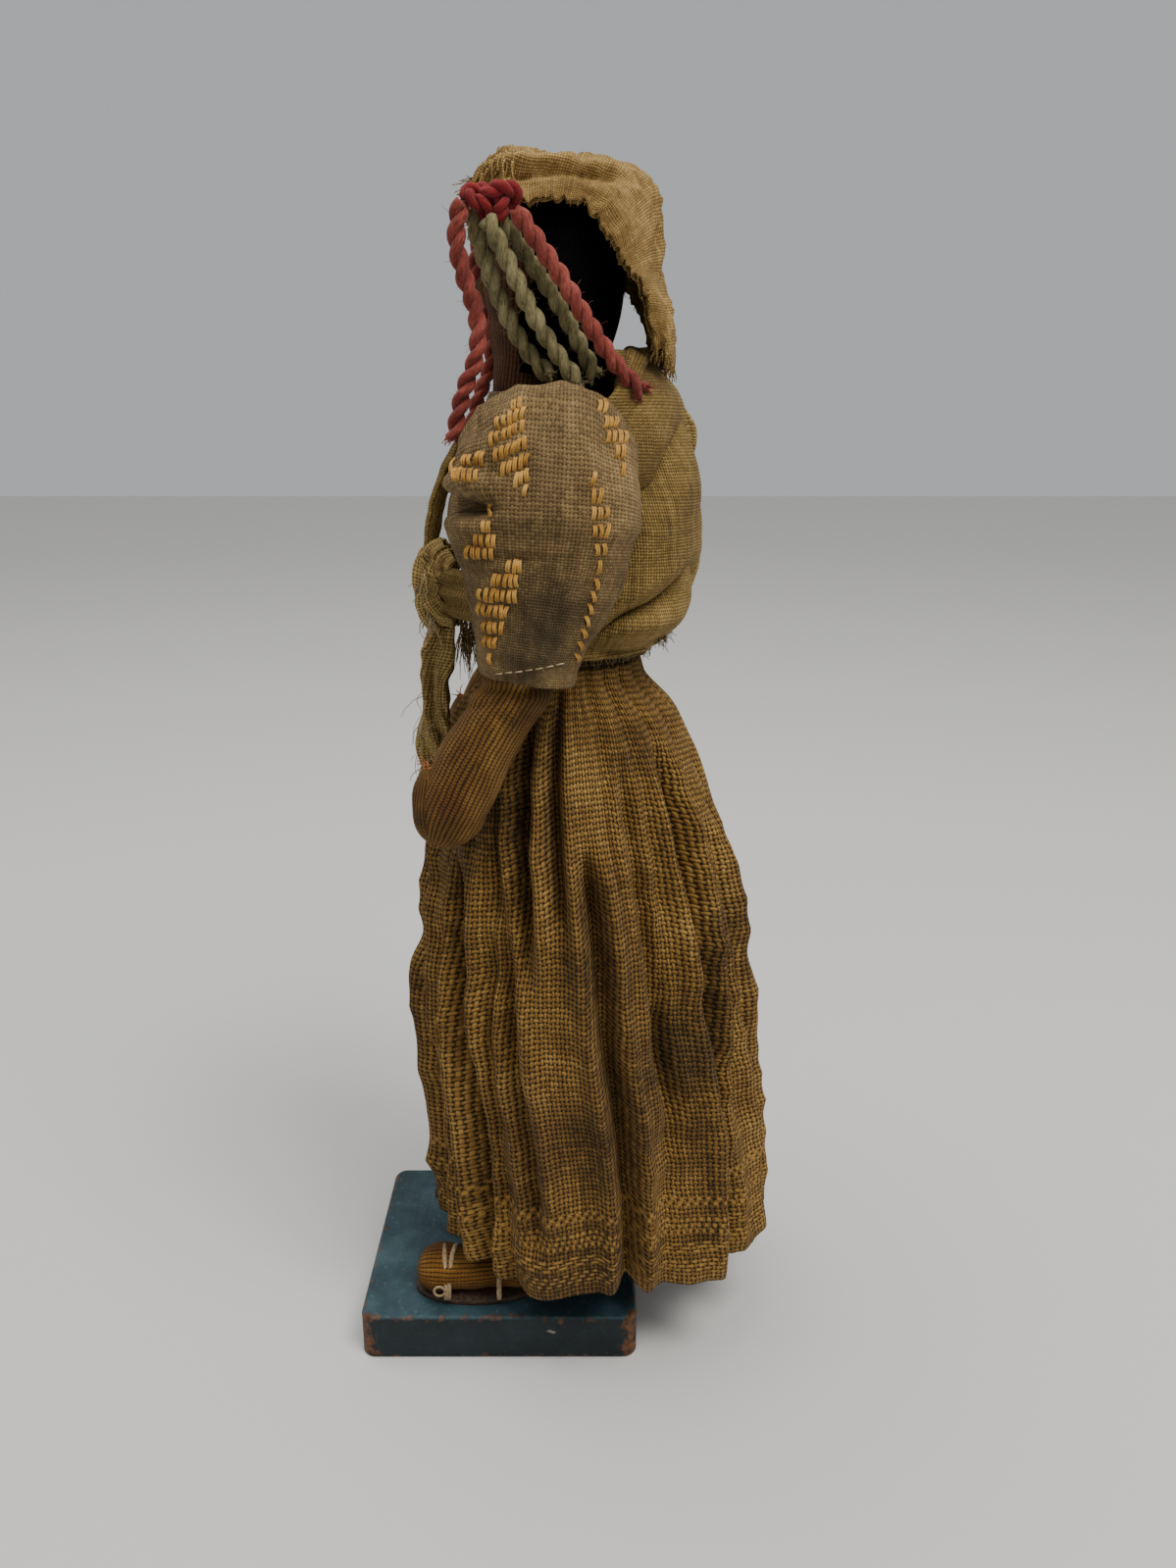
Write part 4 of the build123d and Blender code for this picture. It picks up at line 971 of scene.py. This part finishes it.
def innerClothPoint(u, v):
    # the second layer, folded under the first and showing behind
    share = 0.1 + 0.86 * v
    outer = headclothPoint(u, share)
    centre = Vector((0, 13 + 14 * share, outer.z))
    inward = (centre - outer).normalized()
    return outer + inward * (1.3 + 0.8 * math.sin(6 * v + 3 * u)) + Vector((0, 0, -0.4))


innerCloth = addObject("headclothUnderfold", meshFrom("innerCloth", clothGrid(60, 70, 44, 52, innerClothPoint)),
                       headclothMaterial, "figure")
thicken(innerCloth, 0.4)
frontRoots = [(headclothPoint(u / 30, 0.0), (0, -1, -0.1)) for u in range(0, 31)] * 2
tipRoots = [(headclothPoint(u / 30, 1.0), (0.05 * (u - 15) / 15, 0.1, -1)) for u in range(0, 31)] * 2
edgeRoots = [(headclothPoint(1.0 if k % 2 else 0.0, k / 60), (0.5 if k % 2 else -0.5, 0, -0.7)) for k in range(4, 60)]
frontFray = fray("headclothFrontFray", frontRoots, headclothMaterial, "figure", 0.13, 0.5, 3.2, 0.55, 0.1)
tipFray = fray("headclothTipFray", tipRoots, headclothMaterial, "figure", 0.13, 0.35, 2.6, 0.5, 0.15)
edgeFray = fray("headclothEdgeFray", edgeRoots, headclothMaterial, "figure", 0.1, 0.5, 1.3, 0.6, 0.1)
bunchRoots = []
for k in range(300):
    across = chance.uniform(0.7, 1.0) if k % 5 else chance.uniform(0.5, 0.7)
    bunchRoots.append((headclothPoint(across if k % 2 else 1 - across, chance.uniform(0.0, 0.2)) + Vector((0.7 if k % 2 else -0.7, 0, 0.2)),
                       (0.75 if k % 2 else -0.75, -0.5, -1.0)))
bunchFray = fray("headclothBunch", bunchRoots, headclothMaterial, "figure", 0.24, 0.3, 5.6, 0.4, 0.2)
print("headcloth draped")

# ---- shawl ----
shawlLook = {"pitch": 0.62, "wobble": 0.55, "round": 0.7, "threadShare": 0.26, "roughness": 0.92, "sheen": 0.02,
             "dark": (0.095, 0.056, 0.014), "base": (0.27, 0.172, 0.048), "light": (0.46, 0.31, 0.11),
             "gap": 0.12, "gapFrom": 0.18, "gapTo": 0.76, "bump": 1.0, "fuzz": 0.3, "cloudScale": 60,
             # the second patch, where the collar roll lies on the back, is painted shade under the roll
             "stainsAndShade": [((18, 30, 190), 8, (0.12, 0.072, 0.018), 0.5), ((10, 30, 204), 7, (0.09, 0.05, 0.012), 0.7)]}
shawlMaterial = weaveMaterial("khakiGauze", shawlLook)
# the same gauze painted lighter for the knot and tail: painted light that lifts the shade they sit in
paintedLightShawlMaterial = weaveMaterial("khakiGauzePaintedLight", {**shawlLook, "dark": (0.16, 0.1, 0.03), "base": (0.4, 0.27, 0.09), "light": (0.62, 0.46, 0.2)})

# (height, centre back, half width, half depth)
shawlShape = [
    (152.6, 19.6, 15.6, 12.8), (157.0, 21.6, 17.0, 14.4), (163.0, 23.0, 18.0, 16.0), (171.0, 23.9, 18.6, 16.9),
    (183.0, 23.8, 18.4, 16.5), (193.0, 23.4, 17.6, 15.4), (200.0, 22.0, 16.4, 14.2), (204.6, 20.6, 14.0, 12.0), (207.6, 19.4, 11.4, 9.2),
]


def shawlPoint(u, v):
    z = 152.6 + 55.0 * v
    centre, halfX, halfY = rowAt(shawlShape, z)
    leftReach = math.radians(112 - 40 * fade(v, 0.72, 0.95))
    rightReach = math.radians(112 - 20 * fade(v, 0.5, 1.0))
    angle = -rightReach + (leftReach + rightReach) * u
    place = Vector((halfX * math.sin(angle), centre + halfY * math.cos(angle), z))
    outward = Vector((math.sin(angle) / halfX, math.cos(angle) / halfY, 0)).normalized()
    pole = Vector((15, 155)) if angle > 0 else Vector((15, 204))
    spread = Vector((place.y - pole.x, place.z - pole.y))
    swing = math.atan2(spread.y, spread.x)
    away = spread.length
    ridge = (abs(math.sin(swing * 5.4 + 0.9 * noise.noise(place / 12) + 0.5)) ** 0.7 - 0.62) * 2 * fade(away, 3, 14)
    soften = 0.35 + 0.65 * abs(math.sin(angle))
    push = 1.9 * ridge * soften + 0.4 * math.sin(swing * 19 + away * 0.1) * fade(away, 4, 16)
    push += 1.2 * bump(z, 159, 2.2) * bump(angle, 0.9, 0.8) - 0.9 * bump(z, 155.4, 1.2)
    push += wrinkle(place, 12, 0.8) + crumple(place, 8, 0.3)
    return place + outward * push


shawl = addObject("shawlBack", meshFrom("shawlBack", clothGrid(170, 110, 92, 62, shawlPoint)), shawlMaterial, "figure")
thicken(shawl, 0.5)
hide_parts("shawl_back", "bundle")

rollShape = [
    (0.0, 15.4, 24.0, 194.0, 0.8, 0.8), (0.15, 14.4, 26.0, 200.0, 1.7, 1.9), (0.32, 10.4, 27.6, 205.4, 2.1, 2.4),
    (0.5, 0.0, 28.6, 206.8, 2.2, 2.5), (0.68, -10.6, 27.0, 205.6, 2.3, 2.5), (0.85, -13.8, 20.0, 203.6, 2.4, 2.1), (1.0, -14.0, 11.0, 202.2, 2.4, 1.2),
]


def rollPoint(u, v):
    place = tubePoint(rollShape, (0, 0, 1), u, v)
    push = 0.35 * math.sin(u * math.tau * 4 + 9 * v) + wrinkle(place, 4, 0.7)
    return tubePoint(rollShape, (0, 0, 1), u, v, push)


roll = addObject("shawlRoll", meshFrom("shawlRoll", clothGrid(48, 120, 14, 62, rollPoint, closed=True)), shawlMaterial, "figure")
thicken(roll, 0.45)


def strapPoint(stations, halfWidth, folds, depth):
    # a gathered band through stations: (share, x, y, z, facing x, facing y, facing z)
    def placed(u, v):
        x, y, z, *facing = rowAt(stations, v)
        ahead, behind = rowAt(stations, min(v + 0.01, 1)), rowAt(stations, max(v - 0.01, 0))
        tangent = (Vector(ahead[:3]) - Vector(behind[:3])).normalized()
        outward = Vector(facing).normalized()
        outward = (outward - tangent * outward.dot(tangent)).normalized()
        across = tangent.cross(outward)
        side = (u - 0.5) * 2
        bow = 0.9 * (1 - side * side)
        ripple = depth * math.sin(side * folds + 4 * v)
        place = Vector((x, y, z)) + across * side * halfWidth + outward * (bow + ripple)
        return place + outward * wrinkle(place, 3, 0.4)
    return placed


frontStations = [
    (0.0, 3.2, -11.6, 168.6, 0, -1, 0), (0.25, -1.4, -10.6, 178.0, -0.1, -1, 0.05), (0.5, -6.4, -7.6, 187.4, -0.2, -1, 0.35),
    (0.72, -11.0, -1.6, 196.0, -0.3, -1, 0.9), (0.88, -13.2, 5.0, 200.8, -0.1, -0.5, 1), (1.0, -13.9, 12.4, 202.0, 0, 0, 1),
]
sideStations = [
    (0.0, 4.6, -11.0, 165.6, 0, -1, 0), (0.35, 10.4, -6.6, 164.4, 0.6, -1, 0), (0.65, 16.0, 1.6, 163.6, 1, -0.6, 0),
    (1.0, 17.6, 13.0, 162.6, 1, 0, 0),
]
shoulderBand = addObject("shawlShoulderBand", meshFrom("shoulderBand", clothGrid(36, 70, 22, 48, strapPoint(frontStations, 3.5, 8, 0.6))),
                         shawlMaterial, "figure")
thicken(shoulderBand, 0.6)
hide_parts("shawl_shoulder_band")
sideBand = addObject("shawlSideBand", meshFrom("sideBand", clothGrid(40, 50, 24, 30, strapPoint(sideStations, 4.8, 9, 0.5))),
                     shawlMaterial, "figure")
thicken(sideBand, 0.6)
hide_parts("shawl_side_band")

# the knot: one loop of cloth over another, each a gathered tube
knotX, knotZ = (low("shawl_knot").x + high("shawl_knot").x) / 2, (low("shawl_knot").z + high("shawl_knot").z) / 2
knotY = low("shawl_knot").y + 5.2
knotLoops = [
    [(0.0, 1.0, 1.5, 9.0, 1.6, 2.0), (0.25, 0.5, -1.8, 5.6, 2.6, 3.0), (0.5, 0.0, -2.8, 0.0, 2.6, 3.2), (0.75, 0.3, -2.0, -4.6, 2.4, 2.8),
     (1.0, 1.0, 0.4, -7.4, 1.6, 2.0)],
    [(0.0, 3.6, 3.4, 7.0, 1.6, 2.2), (0.3, 3.4, 0.8, 4.4, 2.4, 2.8), (0.6, 2.6, -1.4, -0.6, 2.4, 2.8), (0.8, 3.4, 0.8, -4.0, 2.0, 2.4),
     (1.0, 4.6, 3.4, -5.6, 1.4, 1.8)],
]
knotPieces = []
for index, loopShape in enumerate(knotLoops):
    moved = [(t, x + knotX, y + knotY, z + knotZ, a, b) for t, x, y, z, a, b in loopShape]

    def loopPoint(u, v, moved=moved):
        push = 0.4 * math.sin(u * math.tau * 5 + 7 * v) + wrinkle(tubePoint(moved, (0.2, 0.5, 0.8), u, v), 3, 0.5)
        return tubePoint(moved, (0.2, 0.5, 0.8), u, v, push)

    knotPieces.append(addObject("shawlKnot" + str(index + 1), meshFrom("knot", clothGrid(60, 60, 16, 24, loopPoint, closed=True)),
                                paintedLightShawlMaterial, "figure"))
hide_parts("shawl_knot")
for piece in knotPieces:
    thicken(piece, 0.45)

tailTop, tailEnd = high("shawl_tail").z, low("shawl_tail").z
tailX = (low("shawl_tail").x + high("shawl_tail").x) / 2


# (share down from the knot, outward, back, height, half width, half thickness)
tailShape = [
    (0.0, tailX, -9.8, tailTop + 1.2, 2.2, 1.7), (0.15, tailX, -10.4, tailTop - 4, 3.5, 2.4), (0.4, tailX, -11.2, tailTop - 11, 2.4, 2.4),
    (0.7, tailX, -11.5, tailTop - 20.5, 3.3, 2.0), (1.0, tailX, -11.9, tailEnd + 0.6, 3.0, 1.4),
]


def tailPoint(u, v):
    turn = 0.16 * math.sin(3.4 * v)
    place = tubePoint(tailShape, (0, 1, 0), u + turn, v)
    push = 0.75 * math.sin(u * math.tau * 4 + 4.5 * v) + 0.35 * math.sin(u * math.tau * 7 + 11 * v) + wrinkle(place, 3, 0.6)
    return tubePoint(tailShape, (0, 1, 0), u + turn, v, push - 0.2)


tail = addObject("shawlTail", meshFrom("tail", clothGrid(96, 80, 18, 30, tailPoint, closed=True)), paintedLightShawlMaterial, "shawl_tail")
thicken(tail, 0.5)
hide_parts("shawl_tail")
tailFray = fray("tailFray", [(tailPoint(k / 24, 1.0), (0, -0.1, -1)) for k in range(25)] * 2, paintedLightShawlMaterial, "shawl_tail", 0.12, 0.4, 2.8, 0.5, 0.2)
fray("tailSideThreads", [(tailPoint(chance.random(), chance.uniform(0.42, 1.0)), (0.4, -0.6, -0.4)) for k in range(60)],
     creamMaterial, "shawl_tail", 0.09, 0.6, 6.0, 0.6, 0.25)
fray("knotThreads", [((knotX + chance.uniform(-2, 4), knotY + chance.uniform(-3.5, 0), knotZ + chance.uniform(-6, 4)), (0.7, -0.6, -0.3)) for k in range(70)],
     creamMaterial, "figure", 0.13, 0.7, 5.0, 0.75, 0.35)
fray("sideTuft", [((knotX + 5 + chance.uniform(-1.5, 2), -4 + chance.uniform(-1, 2.5), 160 - chance.uniform(0, 4)), (0.3, -0.2, -1)) for k in range(90)],
     shawlMaterial, "figure", 0.12, 0.4, 8.0, 0.35, 0.3)
fray("backTuft", [((chance.uniform(2, 9), 32.6 + chance.uniform(-1.5, 1), 156 + chance.uniform(-1, 1.4)), (0.2, 1.0, 0.1)) for k in range(70)],
     shawlMaterial, "figure", 0.12, 0.6, 3.6, 0.6, 0.1)
shawlFray = fray("shawlEdgeFray", [(shawlPoint(k / 70, 0.0), (0, 0.3, -1)) for k in range(71)], shawlMaterial, "figure", 0.1, 0.5, 1.8, 0.6, 0.15)
print("shawl tied")

# ---- yarn ----
redYarn = threadMaterial("dustyRedYarn", (0.09, 0.014, 0.01), (0.25, 0.044, 0.03), (0.42, 0.115, 0.08), 0.55)
greyYarn = threadMaterial("greyGreenYarn", (0.08, 0.064, 0.025), (0.215, 0.18, 0.078), (0.42, 0.37, 0.19), 0.55)
tieYarn = threadMaterial("crimsonYarn", (0.07, 0.004, 0.005), (0.2, 0.01, 0.012), (0.34, 0.032, 0.028), 0.55)
yarnSize = {"diameter": 3.3, "ply": 0.98, "offset": 0.74, "lay": 7.0}

# each strand's route on the left, in metres
yarnRoutes = {
    "red_front_yarn": [(0.01855, -0.0018, 0.2307), (0.01855, -0.0032, 0.2263), (0.01775, -0.0022, 0.2203), (0.01615, 0.0004, 0.2131),
                       (0.01575, 0.0, 0.2061), (0.01595, -0.0032, 0.2001), (0.01555, -0.0046, 0.1927)],
    "grey_front_yarn": [(0.01495, -0.0006, 0.2303), (0.01495, 0.0014, 0.2225), (0.01435, 0.0046, 0.2143), (0.01335, 0.009, 0.2065),
                        (0.01375, 0.0126, 0.2035)],
    "grey_middle_yarn": [(0.01855, 0.0025, 0.2281), (0.01835, 0.0058, 0.2217), (0.01615, 0.0102, 0.2124), (0.01575, 0.0156, 0.2047),
                         (0.01615, 0.0176, 0.2023)],
    "grey_back_yarn": [(0.01495, 0.0046, 0.2287), (0.01495, 0.0098, 0.2219), (0.01415, 0.0158, 0.2131), (0.01335, 0.0206, 0.2034)],
    "red_back_yarn": [(0.01855, 0.0073, 0.2295), (0.01855, 0.0134, 0.2215), (0.01775, 0.0195, 0.2118), (0.01615, 0.0248, 0.2043),
                      (0.01635, 0.029, 0.2007)],
}


def routeLine(name, points):
    # points read from a smooth spline through the route's own control points
    curve = bpy.data.curves.new(name, "CURVE")
    curve.dimensions = "3D"
    curve.resolution_u = 40
    spline = curve.splines.new("NURBS")
    spline.points.add(len(points) - 1)
    for target, point in zip(spline.points, points):
        target.co = (*point, 1)
    spline.order_u = 3
    spline.use_endpoint_u = True
    holder = bpy.data.objects.new(name, curve)
    mesh = bpy.data.meshes.new_from_object(holder)
    line = [v.co.copy() for v in mesh.vertices]
    bpy.data.objects.remove(holder)
    return line


def evenly(line, step):
    result, need = [line[0]], step
    for a, b in zip(line, line[1:]):
        length = (b - a).length
        while need <= length:
            result.append(a.lerp(b, need / length))
            need += step
        need -= length
    if (result[-1] - line[-1]).length > step * 0.3:
        result.append(line[-1])
    return result


def yarnMesh(line, size, phase, hairs):
    # two plies twisted round the line, with loose fibres; all measured in millimetres
    bm = bmesh.new()
    spots = evenly([p / mm for p in line], 0.5)
    length = sum((b - a).length for a, b in zip(spots, spots[1:]))
    side = Vector((1, 0, 0))
    plies, travelled = ([], []), 0.0
    for index, spot in enumerate(spots):
        tangent = (spots[min(index + 1, len(spots) - 1)] - spots[max(index - 1, 0)]).normalized()
        side = (side - tangent * side.dot(tangent)).normalized()
        other = tangent.cross(side)
        if index:
            travelled += (spot - spots[index - 1]).length
        loosen = 1 + 0.5 * fade(travelled, length - 3.5, length)
        for k in (0, 1):
            turn = phase + math.pi * k + math.tau * travelled / size["lay"]
            plies[k].append(spot + (side * math.cos(turn) + other * math.sin(turn)) * size["offset"] * loosen)
    for ply in plies:
        threadMesh(bm, ply, size["ply"], 9, 0.12)
    for _ in range(hairs):
        root = chance.choice(chance.choice(plies))
        way = Vector([chance.uniform(-1, 1) for _ in range(3)])
        threadMesh(bm, curlyThread(root + way.normalized() * 0.8, way, chance.uniform(0.6, 1.9), 0.9, 5), 0.045, 3, 0.5)
    for ply in plies:  # the loose end
        for _ in range(16):
            way = (ply[-1] - ply[-5]).normalized() + Vector([chance.uniform(-0.7, 0.7) for _ in range(3)])
            threadMesh(bm, curlyThread(ply[-2], way, chance.uniform(1.0, 2.4), 0.7, 5, 0.1), 0.13, 4, 0.6)
    return meshFrom("yarn", bm)


for sideName, side in sides:
    for index, (strand, route) in enumerate(yarnRoutes.items()):
        line = routeLine(strand, [(x * side, y, z) for x, y, z in route])
        mesh = yarnMesh(line, yarnSize, index * 0.8, 150)
        yarn = addObject(sideName + strand.title().replace("_", ""), mesh, redYarn if "red" in strand else greyYarn,
                         "figure")
        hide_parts(f"{sideName}_{strand}")
    loopLow, loopHigh = low(sideName + "_yarn_knot"), high(sideName + "_yarn_knot")
    centre = (loopLow + loopHigh) / 2 + Vector((0.1 * side, -0.2, -3.6))
    ring = []
    for k in range(73):  # a loose trefoil, pulled flat
        a = math.tau * k / 72
        ring.append((centre + Vector((-side * 1.3 * math.sin(3 * a), 1.5 * (math.sin(a) + 2 * math.sin(2 * a)),
                                      0.85 * (math.cos(a) - 2 * math.cos(2 * a))))) * mm)
    mesh = yarnMesh(ring, {"lay": 5.0, "offset": 0.62, "ply": 0.85}, 0.3, 90)
    loop = addObject(sideName + "YarnTie", mesh, tieYarn, "figure")
    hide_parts(sideName + "_yarn_knot")
print("yarn hung")

# ---- camera, light and floor ----
cameraLook = {"place": (0.2355, 0.0194, 0.196), "down": 17.2, "lens": 27.04}
camera = bpy.data.objects.new("camera", bpy.data.cameras.new("camera"))
camera.location = cameraLook["place"]
camera.rotation_euler = (math.radians(90 - cameraLook["down"]), 0, math.radians(90))
camera.data.lens = cameraLook["lens"]
camera.data.sensor_width = 36
camera.data.clip_start = 0.005
bpy.context.collection.objects.link(camera)
bpy.context.scene.camera = camera


def areaLight(name, place, target, size, watts, colour=(1, 1, 1)):
    lamp = bpy.data.lights.new(name, "AREA")
    lamp.size = size
    lamp.energy = watts
    lamp.color = colour
    obj = bpy.data.objects.new(name, lamp)
    obj.location = place
    obj.rotation_euler = (Vector(target) - Vector(place)).to_track_quat("-Z", "Y").to_euler()
    bpy.context.collection.objects.link(obj)


areaLight("keyLight", (0.42, 0.4, 1.05), (0, 0.01, 0.14), 0.45, 10.0, (1.0, 0.97, 0.92))
areaLight("topLight", (-0.1, -0.3, 1.1), (0, 0.01, 0.14), 0.8, 5.0, (1.0, 0.98, 0.95))

# a plain room: pale walls all round and a brighter ceiling
world = bpy.data.worlds.new("paleRoom")
world.use_nodes = True
roomTree = world.node_tree
roomHeight = apart(roomTree, roomTree.nodes.new("ShaderNodeTexCoord").outputs["Generated"])["Z"]
roomColour = ramp(roomTree, roomHeight, [(0.0, (0.47, 0.48, 0.49)), (0.32, (0.47, 0.48, 0.49)), (0.9, (0.75, 0.74, 0.72))])
roomTree.links.new(roomColour, roomTree.nodes["Background"].inputs["Color"])
roomTree.nodes["Background"].inputs["Strength"].default_value = 0.95
bpy.context.scene.world = world

floorMesh = bmesh.new()
bmesh.ops.create_grid(floorMesh, x_segments=1, y_segments=1, size=3.0)
floor = bpy.data.objects.new("floor", meshFrom("floor", floorMesh))
bpy.context.collection.objects.link(floor)
floorMaterial, floorTree, floorShader = newMaterial("paleFloor", 0.85, 0.0, 0.2)
floorShader.inputs["Base Color"].default_value = (0.6, 0.6, 0.59, 1)
floor.data.materials.append(floorMaterial)
print("camera and light set")
